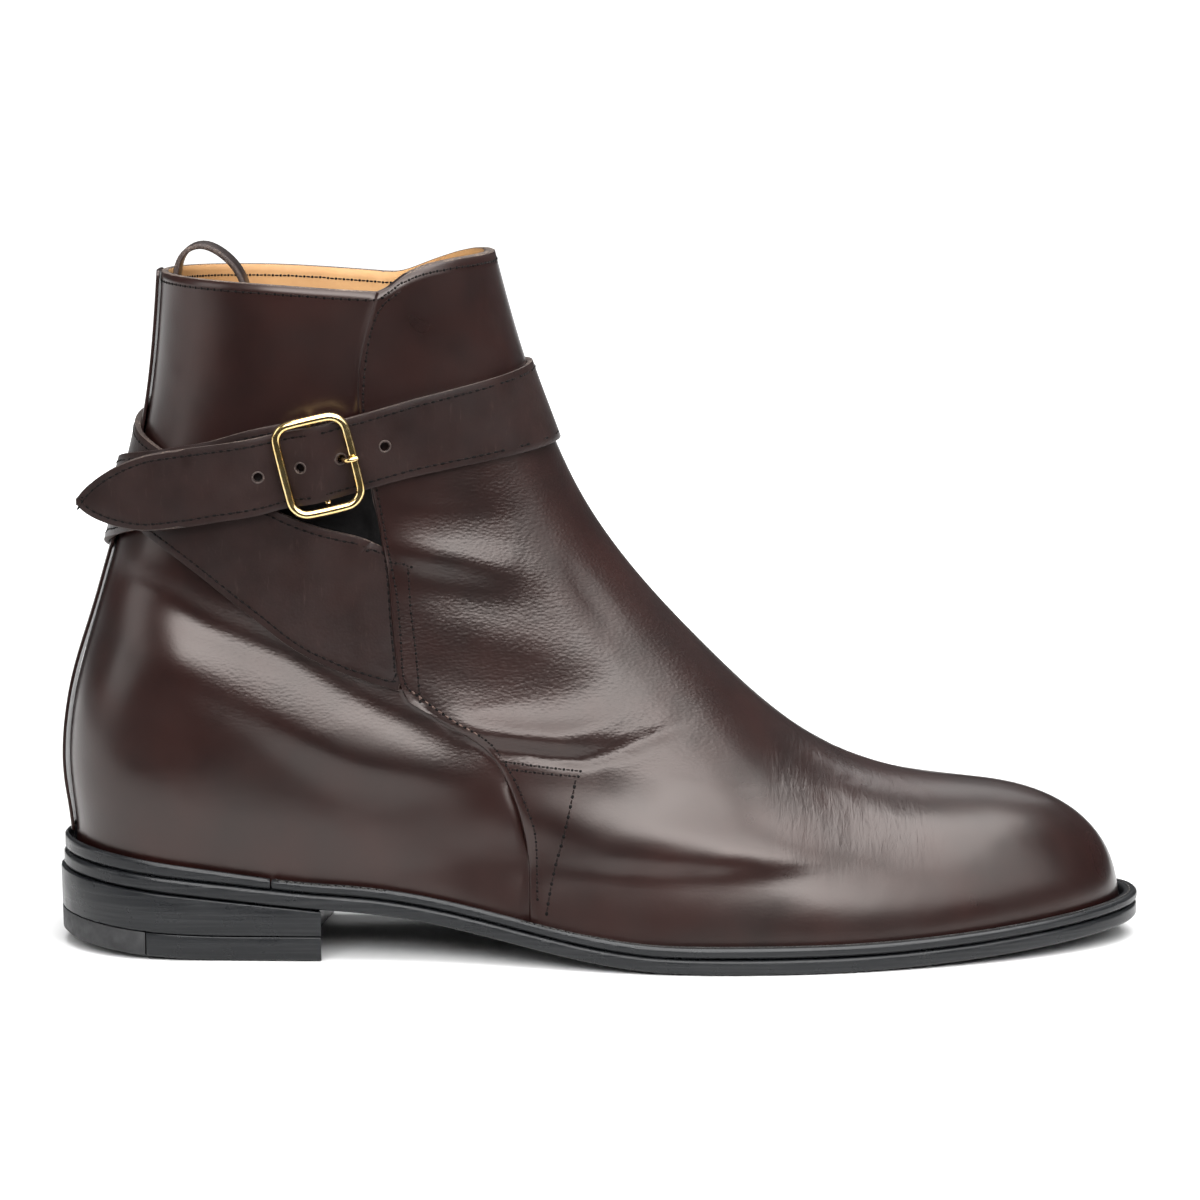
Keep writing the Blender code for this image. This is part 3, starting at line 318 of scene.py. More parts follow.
# a cut edge: fibres show as pale streaks
def makeCutEdge(name, dark, pale, amount):
    m = Nodes(name)
    fibre = m.noise(1400.0, 4.0, 0.7)
    patch = m.noise(120.0, 3.0)
    bared = m.maths("ADD", fibre, m.maths("MULTIPLY", patch, 0.5))
    m.colour(m.mix(m.range(bared, 0.85 - amount, 1.0), dark, pale))
    m.roughness(m.range(fibre, 0.3, 0.7, 0.55, 0.8))
    m.bump((fibre, 0.8, 0.00018))
    return m.material


soleBlack = {
    "base": (0.0060, 0.0066, 0.0076),
    "worn": (0.022, 0.0225, 0.024),
    "speck": (0.05, 0.045, 0.04),           # bare leather where the dressing is nicked
    "rough": (0.24, 0.38),
    "streaks": 1500.0,                      # how thin the level streaks are, on the soles and on the heel
    "heelStreaks": 1400.0,
    "lifts": 72.0,                          # how close the heel's layers lie
}


# black edge dressing over layered leather: long level streaks, and a step at each lift of the heel
def makeSoleEdge(name, streak, lifts=0.0):
    m = Nodes(name)
    level = m.noise(1.0, 4.0, 0.6, m.stretched((26.0, 26.0, streak)))
    speck = m.noise(700.0, 3.0, 0.7)
    colour = m.mix(m.range(level, 0.45, 0.75, 0.0, 0.6), soleBlack["base"], soleBlack["worn"])
    m.colour(m.mix(m.range(speck, 0.66, 0.80, 0.0, 0.5), colour, soleBlack["speck"]))
    m.roughness(m.range(m.noise(160.0), 0.3, 0.7, *soleBlack["rough"]))
    layers = [(level, 0.5, 0.00022), (m.noise(900.0, 3.0), 0.4, 0.00006)]
    if lifts:
        wave = m.add("ShaderNodeTexWave", {
            "Vector": m.place, "Scale": lifts, "Distortion": 0.6, "Detail": 2.0, "Detail Scale": 20.0,
        }, bands_direction="Z", wave_profile="SAW").outputs["Fac"]
        layers.insert(0, (m.range(wave, 0.0, 0.10), 0.5, 0.00012))
    m.bump(*layers)
    m.set(Coat_Weight=0.08, Coat_Roughness=0.20, Specular_IOR_Level=0.28)
    return m.material


liningTan = {"dark": (0.30, 0.150, 0.052), "pale": (0.42, 0.235, 0.092), "speck": (0.30, 0.14, 0.05)}


# tan lining: matt, unevenly dyed, with pores
def makeLining():
    m = Nodes("lining_calf")
    colour = m.mix(m.range(m.noise(40.0, 4.0), 0.3, 0.7), liningTan["dark"], liningTan["pale"])
    m.colour(m.mix(m.range(m.noise(500.0, 3.0), 0.5, 0.8, 0.0, 0.3), colour, liningTan["speck"]))
    m.roughness(m.range(m.noise(200.0), 0.3, 0.7, 0.55, 0.72))
    m.bump((m.noise(60.0), 0.4, 0.0005), (m.cells(1100.0), 0.5, 0.00008))
    return m.material


brass = {"deep": (0.78, 0.55, 0.22), "pale": (0.90, 0.70, 0.36), "rough": (0.09, 0.24)}


# polished brass with faint drawing marks
def makeBrass():
    m = Nodes("polished_brass")
    m.colour(m.mix(m.range(m.noise(300.0), 0.35, 0.7), brass["deep"], brass["pale"]))
    m.roughness(m.range(m.noise(420.0, 4.0), 0.3, 0.7, *brass["rough"]))
    m.bump((m.noise(1.0, 3.0, 0.6, m.stretched((300.0, 300.0, 2600.0))), 0.15, 0.00003))
    m.set(Metallic=1.0)
    return m.material


# waxed thread, and a near-black copy of it as painted shade for the pricked holes
def makeThread(name, colour, pale):
    m = Nodes(name)
    m.colour(m.mix(m.range(m.noise(1500.0), 0.4, 0.7), colour, pale))
    m.roughness(m.range(m.noise(900.0), 0.3, 0.7, 0.7, 0.9))
    m.bump((m.noise(2000.0, 2.0), 0.5, 0.00005))
    m.set(Specular_IOR_Level=0.15)
    return m.material


rubber = {"dark": (0.010, 0.010, 0.011), "worn": (0.022, 0.022, 0.023)}


def makeRubber():
    m = Nodes("heel_rubber")
    m.colour(m.mix(m.range(m.noise(300.0), 0.4, 0.7), rubber["dark"], rubber["worn"]))
    m.roughness(m.range(m.noise(500.0), 0.3, 0.7, 0.5, 0.7))
    m.bump((m.noise(1600.0, 3.0), 0.5, 0.00008))
    return m.material


gapShadeBlack = {"dark": (0.0010, 0.0009, 0.0010), "pale": (0.0034, 0.0030, 0.0030)}


# painted shade: a near-black matt sheet for the gap between the straps and the vamp's edge, where the quarter
# lies in deep shadow
def makeGapShade():
    m = Nodes("gap_painted_shade")
    m.colour(m.mix(m.noise(900.0, 3.0), gapShadeBlack["dark"], gapShadeBlack["pale"]))
    m.roughness(m.range(m.noise(400.0), 0.3, 0.7, 0.75, 0.95))
    m.bump((m.noise(2000.0), 0.5, 0.0001))
    m.set(Specular_IOR_Level=0.12)
    return m.material


calfLeather = makeCalf()
strapLeather = makeStrapLeather()
collarEdge = makeCutEdge("collar_cut_edge", (0.034, 0.022, 0.018), (0.20, 0.145, 0.105), 0.12)
strapEdge = makeCutEdge("strap_cut_edge", (0.026, 0.015, 0.012), (0.17, 0.125, 0.10), 0.08)
soleEdge = makeSoleEdge("sole_edge_black", soleBlack["streaks"])
weltEdge = makeSoleEdge("welt_edge_black", soleBlack["streaks"])
heelEdge = makeSoleEdge("heel_edge_black", soleBlack["heelStreaks"], soleBlack["lifts"])
heelRubber = makeRubber()
liningLeather = makeLining()
brassMetal = makeBrass()
# the dark thread is partly the thread's own colour and partly painted shade, for stitches that sit in shadow
darkThread = makeThread("dark_thread", (0.0060, 0.0036, 0.0032), (0.016, 0.0095, 0.0080))
# painted highlight: a paler copy of the dark thread, for stitches that catch the light
paintedHighlightThread = makeThread("thread_painted_highlight", (0.060, 0.036, 0.030), (0.13, 0.092, 0.075))
soleThread = makeThread("sole_thread", (0.018, 0.0175, 0.017), (0.06, 0.058, 0.055))
prickHoleShade = makeThread("prick_hole_painted_shade", (0.0012, 0.0010, 0.0009), (0.0030, 0.0022, 0.0020))
gapShadeSheet = makeGapShade()


meshing = {
    "merge": 0.00001,                       # metres within which a node's loose corners are one
    "flatQuad": math.radians(50.0),         # two triangles pair up where they bend and skew less than these
    "squareQuad": math.radians(70.0),
    "bevelFrom": math.radians(50.0),
    "inside": 0.0006,                       # metres off the wall where a ray starts, and how far it looks
    "across": 0.30,
    "under": 0.0001,                        # metres under a face where a ray into the leather starts
    "through": 0.05,
}


# a CAD node's loose triangles as one bmesh, with quads where they pair up
def cleanCopy(node):
    bm = bmesh.new()
    bm.from_mesh(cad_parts[node].data)
    bmesh.ops.remove_doubles(bm, verts=bm.verts, dist=meshing["merge"])
    bmesh.ops.join_triangles(
        bm, faces=bm.faces,
        angle_face_threshold=meshing["flatQuad"], angle_shape_threshold=meshing["squareQuad"],
    )
    for face in bm.faces:
        face.material_index = 0
    bm.normal_update()
    return bm


# edges that bend more than the limit stay crisp when the piece is subdivided
def creaseSharp(bm, limit, weight):
    layer = bm.edges.layers.float.get("crease_edge") or bm.edges.layers.float.new("crease_edge")
    for edge in bm.edges:
        if len(edge.link_faces) == 2 and edge.calc_face_angle() > math.radians(limit):
            edge[layer] = weight


# makes the finished object, rounds and softens it, puts it on the root body and hides the CAD nodes it stands
# in for
def makePiece(name, bm, materials, nodes=(), levels=0, bevel=0.0, sharp=60.0):
    mesh = bpy.data.meshes.new(name)
    bm.to_mesh(mesh)
    bm.free()
    obj = bpy.data.objects.new(name, mesh)
    scene.collection.objects.link(obj)
    for mat in materials:
        mesh.materials.append(mat)
    if levels:
        rounder = obj.modifiers.new("rounder", "SUBSURF")
        rounder.levels = rounder.render_levels = levels
    if bevel:
        softener = obj.modifiers.new("softener", "BEVEL")
        softener.width = bevel
        softener.segments = 2
        softener.limit_method = "ANGLE"
        softener.angle_limit = meshing["bevelFrom"]
    if obj.modifiers:
        graph = bpy.context.evaluated_depsgraph_get()
        final = bpy.data.meshes.new_from_object(obj.evaluated_get(graph))
        obj.modifiers.clear()
        obj.data = final
        final.name = name
        bpy.data.meshes.remove(mesh)
    obj.data.shade_smooth()
    obj.data.set_sharp_from_angle(angle=math.radians(sharp))
    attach(obj, "root")
    if nodes:
        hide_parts(*nodes)
    return obj


# mm from the heel's back and above the floor, as a place in the frame
def bootPoint(x, z):
    return Vector((heelBack + x / 1000.0, 0.0, z / 1000.0))


# a smooth line through given points, as evenly spaced points
def smoothLine(points, pitch):
    points = np.array(points, float)
    if len(points) > 2:
        dense = []
        padded = np.vstack([2 * points[0] - points[1], points, 2 * points[-1] - points[-2]])
        for i in range(1, len(padded) - 2):
            a, b, c, d = padded[i - 1 : i + 3]
            square, cube = 2 * a - 5 * b + 4 * c - d, 3 * b - a - 3 * c + d
            for t in np.linspace(0.0, 1.0, 16, endpoint=False):
                dense.append(0.5 * (2 * b + (c - a) * t + square * t**2 + cube * t**3))
        points = np.vstack([dense, points[-1]])
    steps = np.linalg.norm(np.diff(points, axis=0), axis=1)
    along = np.concatenate([[0.0], np.cumsum(steps)])
    count = max(2, int(round(along[-1] / pitch)) + 1)
    even = np.linspace(0.0, along[-1], count)
    return np.column_stack([np.interp(even, along, points[:, i]) for i in range(points.shape[1])])


print("stage: upper")

upperLook = {
    "roundness": 2,                         # subdivision levels of the leather skin
    "holdAngle": math.radians(13.0),        # edges sharper than this are kept as they are
    "relaxing": 30,                         # rounds of evening out
    "thinnest": 0.9,                        # mm that a crease may go in before the lining goes with it
    "rimHeight": 168.0,                     # mm above the floor: the collar's cut edge faces up above this
    "rimFacing": 0.85,
    "band": (24.0, 186.0, 7.0),             # mm: creases lie between these heights, fading over the third
    "crisp": (38.0, 0.85),                  # edges that bend more than these degrees are creased this much
    "sharp": 70.0,
    # where the grain has opened, as bands along the boot and above the floor: low, high and fade in mm
    "softVamp": ((92.0, 205.0, 26.0), (48.0, 150.0, 18.0)),
    "softQuarter": ((30.0, 125.0, 25.0), (62.0, 108.0, 14.0)),
    "quarterShare": 0.75,
    "flexed": ((196.0, 258.0, 16.0), (22.0, 75.0, 12.0)),
}
# creases and swells of the outer side, in mm from the heel's back and above the floor:
# points along, half width, depth inwards (a swell where negative)
outerCreases = [
    ([(20, 106), (33, 102), (45, 96), (67, 87), (85, 76.5), (102, 68.5), (115, 62.5)], 7.0, 2.2),
    ([(26, 89), (45, 80), (62, 71), (76, 63), (89, 57), (107, 54), (122, 51)], 9.0, -1.9),
    ([(10, 42), (40, 39), (70, 37), (110, 36)], 14.0, -0.8),
    ([(96, 129), (110, 127), (130, 124)], 5.0, 0.7),
    ([(96, 118), (108, 115), (118, 113), (133, 109)], 6.0, -2.0),
    ([(98, 107), (116, 103), (134, 99)], 6.0, 0.6),
    ([(130, 124), (139, 111), (151, 96)], 6.5, -0.5),
    ([(146, 109), (153, 100), (160, 93)], 3.6, 0.7),
    ([(110, 69), (120, 66), (133, 64.5), (145, 64), (158, 66)], 4.5, -1.8),
    ([(119, 62), (126, 60.5), (138, 59), (149, 58), (157, 60), (166, 63), (178, 67)], 2.6, 1.2),
    ([(118, 70), (124, 72), (135, 74)], 1.4, 0.2),
    ([(148, 62), (160, 66), (173, 71)], 2.0, 0.35),
    ([(112, 90), (126, 85), (142, 83)], 6.0, 0.5),
    ([(104, 84), (120, 79), (140, 76), (160, 78)], 9.0, 1.3),
    ([(114, 42), (128, 41), (142, 40), (160, 36), (190, 33), (225, 30)], 12.0, -2.1),
    ([(210, 61), (217, 51), (222, 41)], 3.0, 0.15),
    ([(222, 54), (229, 45), (233, 36)], 2.4, 0.12),
    ([(236, 50), (241, 43), (244, 35)], 2.0, 0.10),
]
# the hollow between the straps and the vamp, and where the near-black painted shade goes in it
gapHollowAndShade = {
    "hollow": [(62, 127), (76, 126), (92, 124)],    # the quarter sinks in here, wall and all
    "half": 8.0,
    "deep": 3.2,
    "edge": (0.6, 3.0),                     # mm behind the vamp's edge where it starts, and how fast it sinks
    "between": (56.0, 111.0, 138.0),        # mm: back end, low and high ends of the painted shade
}
# heights in mm above the floor, and how far from the heel's back the vamp's edge is there
vampEdgeAt = (
    [20, 35.7, 43.7, 53.6, 61.8, 67.2, 73.3, 79, 94, 104, 116, 131, 143, 158, 173, 181.5],
    [135.5, 135.0, 132.7, 128, 121.9, 112.7, 104, 98.6, 97.3, 96.3, 94.2, 91.6, 89.4, 87.7, 89.0, 91.2],
)
# the same on the inner side, which is calmer
innerCreases = [
    ([(40, 92), (62, 84), (82, 76), (104, 70)], 9.0, 1.1),
    ([(38, 84), (60, 74), (84, 66), (110, 62)], 8.0, -0.8),
    ([(104, 128), (120, 130), (136, 136)], 7.0, 0.8),
    ([(106, 110), (126, 106), (146, 112)], 8.0, 0.8),
    ([(126, 64), (146, 60), (166, 64)], 5.0, 0.9),
    ([(118, 76), (140, 71), (160, 72)], 6.0, -0.6),
    ([(210, 60), (217, 50), (222, 40)], 3.0, 0.35),
    ([(222, 54), (228, 46), (232, 37)], 2.6, 0.3),
    ([(234, 50), (239, 43), (242, 35)], 2.2, 0.25),
]
# fine cross wrinkles where the vamp bends, over the ridge: mm from the heel's back, half width, depth
flexLines = [
    (206, 1.6, 0.06), (212, 1.3, 0.09), (218, 1.5, 0.12), (224, 1.2, 0.11),
    (230, 1.4, 0.12), (237, 1.2, 0.09), (244, 1.5, 0.06),
]
flexLook = {
    "lean": 0.22,                           # mm forward for each mm down the side
    "waver": 1.4,                           # mm to and fro, this many radians a metre
    "turns": 330.0,
    "band": (28.0, 75.0, 8.0),
}


# which faces look into the boot: a ray along the normal meets the opposite wall
def looksInside(tree, face):
    start = face.calc_center_median() + face.normal * meshing["inside"]
    return tree.ray_cast(start, face.normal, meshing["across"])[0] is not None


# how far each point is from a line, and how far along the line that is
def lineDistance(x, z, points):
    line = smoothLine(points, 2.5)
    best = np.full(len(x), 1e9)
    share = np.zeros(len(x))
    for i, (a, b) in enumerate(zip(line, line[1:])):
        run = b - a
        t = np.clip(((x - a[0]) * run[0] + (z - a[1]) * run[1]) / run.dot(run), 0.0, 1.0)
        gap = np.hypot(x - a[0] - t * run[0], z - a[1] - t * run[1])
        closer = gap < best
        best[closer] = gap[closer]
        share[closer] = (i + t[closer]) / (len(line) - 1)
    return best, share


creaseShape = {
    "ends": (0.94, 0.03, 0.6),              # how much of a sine's length its ends use, and how blunt they are
    "falloff": 1.6,
}


# each crease is a soft round trough that runs out at its ends
def creaseDepth(x, z, creases):
    depth = np.zeros(len(x))
    for points, half, deep in creases:
        gap, share = lineDistance(x, z, points)
        use, start, blunt = creaseShape["ends"]
        ends = np.sin(np.pi * np.clip(share * use + start, 0.0, 1.0)) ** blunt
        depth += deep * ends * np.exp(-((gap / half) ** 2) * creaseShape["falloff"])
    return depth


# 1 between the two values, falling smoothly to 0 at them
def between(value, low, high, blend):
    rise = np.clip((value - low) / blend, 0.0, 1.0)
    fall = np.clip((high - value) / blend, 0.0, 1.0)
    return (rise * rise * (3 - 2 * rise)) * (fall * fall * (3 - 2 * fall))


# how far each point lies inside a patch of opened grain
def patchShare(x, z, bands):
    along, up = bands
    return between(x, *along) * between(z, *up)


def inPaintedGapShade(place):
    x, z = (place.x - heelBack) * 1000.0, place.z * 1000.0
    back, low, high = gapHollowAndShade["between"]
    return place.y < 0.0 and back < x < np.interp(z, *vampEdgeAt) - 0.2 and low < z < high


# evens out the small dents that subdivision leaves at odd corners of the skin, away from edges
def relaxSkin(mesh):
    bm = bmesh.new()
    bm.from_mesh(mesh)
    crisp = [e for e in bm.edges if len(e.link_faces) != 2 or e.calc_face_angle() > upperLook["holdAngle"]]
    held = {v for e in crisp for v in e.verts}
    free = [v for v in bm.verts if v not in held]
    for _ in range(upperLook["relaxing"]):
        bmesh.ops.smooth_vert(bm, verts=free, factor=0.5, use_axis_x=True, use_axis_y=True, use_axis_z=True)
    bm.to_mesh(mesh)
    bm.free()


def buildUpper():
    bm = cleanCopy("upper")
    tree = BVHTree.FromBMesh(bm)
    for face in bm.faces:
        centre = face.calc_center_median()
        if face.normal.z > upperLook["rimFacing"] and centre.z * 1000.0 > upperLook["rimHeight"]:
            face.material_index = 2
        elif looksInside(tree, face):
            face.material_index = 1
        # the quarter's faces in the shadowed gap get the near-black painted shade
        elif inPaintedGapShade(centre):
            face.material_index = 3
    creaseSharp(bm, *upperLook["crisp"])
    skins = [calfLeather, liningLeather, collarEdge, gapShadeSheet]
    obj = makePiece(
        "upper_leather", bm, skins, ("upper",),
        levels=upperLook["roundness"], sharp=upperLook["sharp"],
    )
    mesh = obj.data
    relaxSkin(mesh)
    count = len(mesh.vertices)
    co = np.zeros(count * 3)
    mesh.vertices.foreach_get("co", co)
    co = co.reshape(-1, 3)
    normal = np.zeros(count * 3)
    mesh.vertices.foreach_get("normal", normal)
    normal = normal.reshape(-1, 3)
    isOuter = np.ones(count, bool)
    for polygon in mesh.polygons:
        if polygon.material_index == 1:
            isOuter[list(polygon.vertices)] = False
    x = (co[:, 0] - heelBack) * 1000.0
    z = co[:, 2] * 1000.0
    onOuter = co[:, 1] < 0.0
    sideways = np.clip(np.abs(normal[:, 1]) * 1.6, 0.0, 1.0)
    depth = np.where(onOuter, creaseDepth(x, z, outerCreases), creaseDepth(x, z, innerCreases))
    depth *= sideways
    for place, half, deep in flexLines:
        waver = flexLook["waver"] * np.sin(co[:, 1] * flexLook["turns"] + place)
        lean = place + np.abs(co[:, 1]) * 1000.0 * flexLook["lean"] + waver
        depth += deep * np.exp(-(((x - lean) / half) ** 2)) * between(z, *flexLook["band"])
    depth *= between(z, *upperLook["band"])
    lining = np.maximum(depth - upperLook["thinnest"], 0.0)     # the wall gets thinner only so far
    depth = np.where(isOuter, depth, -lining)
    co -= normal * (depth / 1000.0)[:, None]
    gap, _ = lineDistance(x, z, gapHollowAndShade["hollow"])
    start, blend = gapHollowAndShade["edge"]
    behindEdge = np.clip((np.interp(z, *vampEdgeAt) - start - x) / blend, 0.0, 1.0)
    hollow = gapHollowAndShade["deep"] / 1000.0 * np.exp(-((gap / gapHollowAndShade["half"]) ** 2) * creaseShape["falloff"])
    co[:, 1] += onOuter * behindEdge * hollow
    mesh.vertices.foreach_set("co", co.ravel())
    soft = patchShare(x, z, upperLook["softVamp"])
    soft = np.maximum(soft, upperLook["quarterShare"] * patchShare(x, z, upperLook["softQuarter"]))
    flex = patchShare(x, z, upperLook["flexed"])
    for name, values in (("softGrain", soft), ("flexGrain", flex)):
        attribute = mesh.attributes.new(name, "FLOAT", "POINT")
        attribute.data.foreach_set("value", values)
    mesh.update()
    return obj


upperPiece = buildUpper()


# a finished piece's surface, for rays and nearest points
def objectTree(obj):
    bm = bmesh.new()
    bm.from_mesh(obj.data)
    tree = BVHTree.FromBMesh(bm)
    bm.free()
    return tree


upperTree = objectTree(upperPiece)

print("stage: stitches")

threads = {
    "pitch": 2.3,                           # mm from stitch to stitch
    "length": 1.30,
    "thick": 0.55,
    "hole": (0.85, 0.85),                   # the prick beside each stitch, a blob of painted shade, along and across the row
    "sink": 0.05,
    "shortest": 30.0,                       # mm: an edge shorter than this gets no row
    "stray": 0.3,                           # mm: a stitch further than this off the surface is left out
}


def stitchTemplate():
    bm = bmesh.new()
    bmesh.ops.create_uvsphere(bm, u_segments=6, v_segments=5, radius=0.5)
    verts = np.array([v.co[:] for v in bm.verts])
    faces = [[v.index for v in f.verts] for f in bm.faces]
    bm.free()
    return verts, faces


stitchVerts, stitchFaces = stitchTemplate()


# many stitches as one mesh: each a place, the way it runs and the way out of the leather
def makeStitches(name, rows, material, size=None, pitch=None, hole=None):
    length, thick = (v / 1000.0 for v in size or (threads["length"], threads["thick"]))
    half = (pitch or threads["pitch"]) / 2000.0
    deep, wide = (v / 1000.0 for v in hole or threads["hole"])
    verts, faces = [], []
    for place, along, out in rows:
        place = Vector(place)
        along = Vector(along).normalized()
        out = Vector(out).normalized()
        across = out.cross(along).normalized()
        out = along.cross(across)
        thread, prick = (thick, thick * 0.7, length), (wide, wide * 0.45, deep)
        # beside each stitch goes a near-black blob, painted shade that stands for its pricked hole
        for middle, shape in ((place, thread), (place + along * half, prick)):
            turn = np.array([across * shape[0], out * shape[1], along * shape[2]])
            base = len(verts) * len(stitchVerts)
            verts.append(stitchVerts @ turn + np.array(middle))
            faces += [[base + i for i in face] for face in stitchFaces]
    mesh = bpy.data.meshes.new(name)
    mesh.from_pydata(np.vstack(verts).tolist(), [], faces)
    mesh.materials.append(material)
    mesh.materials.append(prickHoleShade)
    each = len(stitchFaces)
    mesh.polygons.foreach_set("material_index", [(i // each) % 2 for i in range(len(faces))])
    mesh.shade_smooth()
    obj = bpy.data.objects.new(name, mesh)
    scene.collection.objects.link(obj)
    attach(obj, "root")
    return obj


# places on a surface under a line: rays go from far outside along the given direction
def castLine(points, tree, direction, distance=0.15):
    direction = Vector(direction).normalized()
    found = []
    for point in points:
        hit, normal, _, _ = tree.ray_cast(point - direction * distance, direction, 2.0 * distance)
        if hit is None:
            continue
        if normal.dot(direction) > 0.0:
            normal = -normal
        found.append((hit, normal))
    return found


# which way a line of points runs at one of them
def runAt(line, i):
    return line[min(i + 1, len(line) - 1)] - line[max(i - 1, 0)]


# rows for makeStitches from the places and normals of one line
def stitchesAlong(found):
    sink = threads["sink"] / 1000.0
    rows = []
    places = [place for place, _ in found]
    for i, (place, normal) in enumerate(found):
        rows.append((place - normal * sink, runAt(places, i), normal))
    return rows


def sideRow(points, side, tree, pitch=None):
    line = smoothLine(points, pitch or threads["pitch"])
    places = [bootPoint(x, z) for x, z in line]
    return stitchesAlong(castLine(places, tree, (0.0, -side, 0.0)))


# the vamp's back edge from the collar down to the sole, in mm
vampEdgeLine = [
    (98.5, 190.0), (94.0, 186.5), (91.2, 181.5), (89.0, 173), (87.7, 158), (89.4, 143), (91.6, 131),
    (94.2, 116), (96.3, 104), (97.3, 94), (98.6, 79), (104, 73.3), (112.7, 67.2), (121.9, 61.8),
    (128, 53.6), (132.7, 43.7), (135.0, 35.7), (135.5, 20),
]


# the same line, shifted sideways by an amount in mm
def offsetLine(points, amount):
    line = smoothLine(points, 1.0)
    along = np.gradient(line, axis=0)
    along /= np.linalg.norm(along, axis=1)[:, None]
    return line + np.column_stack([-along[:, 1], along[:, 0]]) * amount


vampRows = {
    "inset": 1.8,                           # mm from the vamp's edge to its row
    "fine": {
        "box top": [(96.8, 112.8), (99.0, 112.7), (101.2, 112.0)],
        "box outer": [(101.4, 111.0), (101.9, 101.1), (102.7, 94.3), (103.5, 87.0), (104.5, 75.0)],
        "tab top": [(127.5, 57.2), (134.0, 56.4), (140.9, 55.6), (148.2, 54.9)],
        "tab under": [(130.5, 54.9), (135.3, 54.4), (141.5, 53.8), (147.6, 53.4)],
    },
    "coarse": {
        "tab side": [
            (147.9, 51.8), (146.5, 44.8), (145.4, 40.0), (144.2, 35.1),
            (142.6, 29.2), (140.9, 21.3), (140.1, 16.4),
        ],
    },
    "coarsePitch": 2.7,
    "coarseSize": (1.5, 0.6),
    "coarseHole": (1.2, 1.05),
    "lit": ((98.5, 61.0), (121.0, 77.0)),   # stitches on the folded edge between these corners get a paler thread, a painted highlight where the light falls on them
}


def buildVampStitches():
    rows, coarse = [], []
    edgeRow = offsetLine(vampEdgeLine, vampRows["inset"])
    for side in (outerSide, innerSide):
        rows += sideRow(edgeRow, side, upperTree)
        for points in vampRows["fine"].values():
            rows += sideRow(points, side, upperTree)
        for points in vampRows["coarse"].values():
            coarse += sideRow(points, side, upperTree, vampRows["coarsePitch"])
    # painted highlight: stitches in the lit patch on the fold get the paler thread, the rest the dark one
    (back, low), (front, high) = vampRows["lit"]
    plain, lit = [], []
    for row in rows:
        x, z = (row[0].x - heelBack) * 1000.0, row[0].z * 1000.0
        (lit if back < x < front and low < z < high else plain).append(row)
    makeStitches("vamp_stitches", plain, darkThread)
    makeStitches("vamp_fold_stitches", lit, paintedHighlightThread)
    makeStitches(
        "tab_stitches", coarse, darkThread,
        vampRows["coarseSize"], vampRows["coarsePitch"], vampRows["coarseHole"],
    )


buildVampStitches()

collarLook = {
    "turns": 150,                           # directions round the leg, and how wide each looks in radians
    "near": 0.05,
    "outside": 0.12,                        # metres from the middle: rays for the outer row start here
    "reach": 0.2,
    # mm under the edge, and 1 outside or -1 inside
    "rows": {"collar_stitches": (2.6, 1.0), "lining_stitches": (3.4, -1.0)},
}


# the rows round the collar keep a fixed distance under the cut edge
def buildCollarStitches():
    rim = np.array([v.co for v in upperPiece.data.vertices if v.co.z * 1000.0 > upperLook["rimHeight"]])
    middle = rim[:, 0].mean()
    angle = np.arctan2(rim[:, 1], rim[:, 0] - middle)
    for name, (below, outward) in collarLook["rows"].items():
        found = []
        for turn in np.linspace(-math.pi, math.pi, collarLook["turns"], endpoint=False):
            near = np.abs((angle - turn + math.pi) % (2 * math.pi) - math.pi) < collarLook["near"]
            if not near.any():
                continue
            away = Vector((math.cos(turn), math.sin(turn), 0.0))
            start = Vector((middle, 0.0, rim[near, 2].max() - below / 1000.0))
            if outward > 0.0:
                hit = upperTree.ray_cast(start + away * collarLook["outside"], -away, collarLook["reach"])
            else:
                hit = upperTree.ray_cast(start, away, collarLook["reach"])
            if hit[0] is not None:
                found.append(hit[0])
        found.append(found[0])
        line = smoothLine([list(place) for place in found], threads["pitch"] / 1000.0)
        rows = []
        for i, point in enumerate(line):
            hit, normal, _, _ = upperTree.find_nearest(Vector(point))
            rows.append((hit, runAt(line, i), normal))
        makeStitches(name, rows, darkThread)


buildCollarStitches()

print("stage: straps")

strapLook = {
    "inset": 2.0,                           # mm from the strap's edge to its stitches
    "thin": 2.6,                            # mm: what is thicker than this under a face is seen edge on
    "bevel": 0.00022,
    "crisp": (50.0, 0.9),
    "sharp": 55.0,
    "stitch": (1.0, 0.5),
    "hole": (1.35, 0.7),
    "tuck": {"over": 7.0, "below": 122.0, "forward": 2.6, "inward": 1.5},   # mm
    "topEdge": ((87.9, 120.3), (94.0, 116.5)),      # mm: the sewn end's top edge runs straight between these
    "topReach": 1.6,
}


# broad faces have the other side close behind them, cut edges don't
def markCutEdges(bm, index, thin):
    tree = BVHTree.FromBMesh(bm)
    for face in bm.faces:
        start = face.calc_center_median() - face.normal * meshing["under"]
        hit = tree.ray_cast(start, -face.normal, meshing["through"])
        if hit[0] is None or hit[3] * 1000.0 > thin:
            face.material_index = index


# ordered runs of points through a set of edges
def chainEdges(edges):
    left = dict.fromkeys(edges)             # keeps its order, so that each run gives the same rows
    runs = []
    while left:
        edge = next(iter(left))
        left.pop(edge)
        run = [edge.verts[0], edge.verts[1]]
        for end in (1, 0):
            while True:
                tip = run[-1] if end else run[0]
                step = next((e for e in tip.link_edges if e in left), None)
                if step is None:
                    break
                left.pop(step)
                other = step.other_vert(tip)
                if end:
                    run.append(other)
                else:
                    run.insert(0, other)
        runs.append(run)
    return runs


# points evenly spaced along straight runs between the given ones
def evenLine(points, pitch):
    points = np.array([p[:] for p in points])
    along = np.concatenate([[0.0], np.cumsum(np.linalg.norm(np.diff(points, axis=0), axis=1))])
    even = np.linspace(0.0, along[-1], max(2, int(round(along[-1] / pitch)) + 1))
    return np.column_stack([np.interp(even, along, points[:, i]) for i in range(3)])


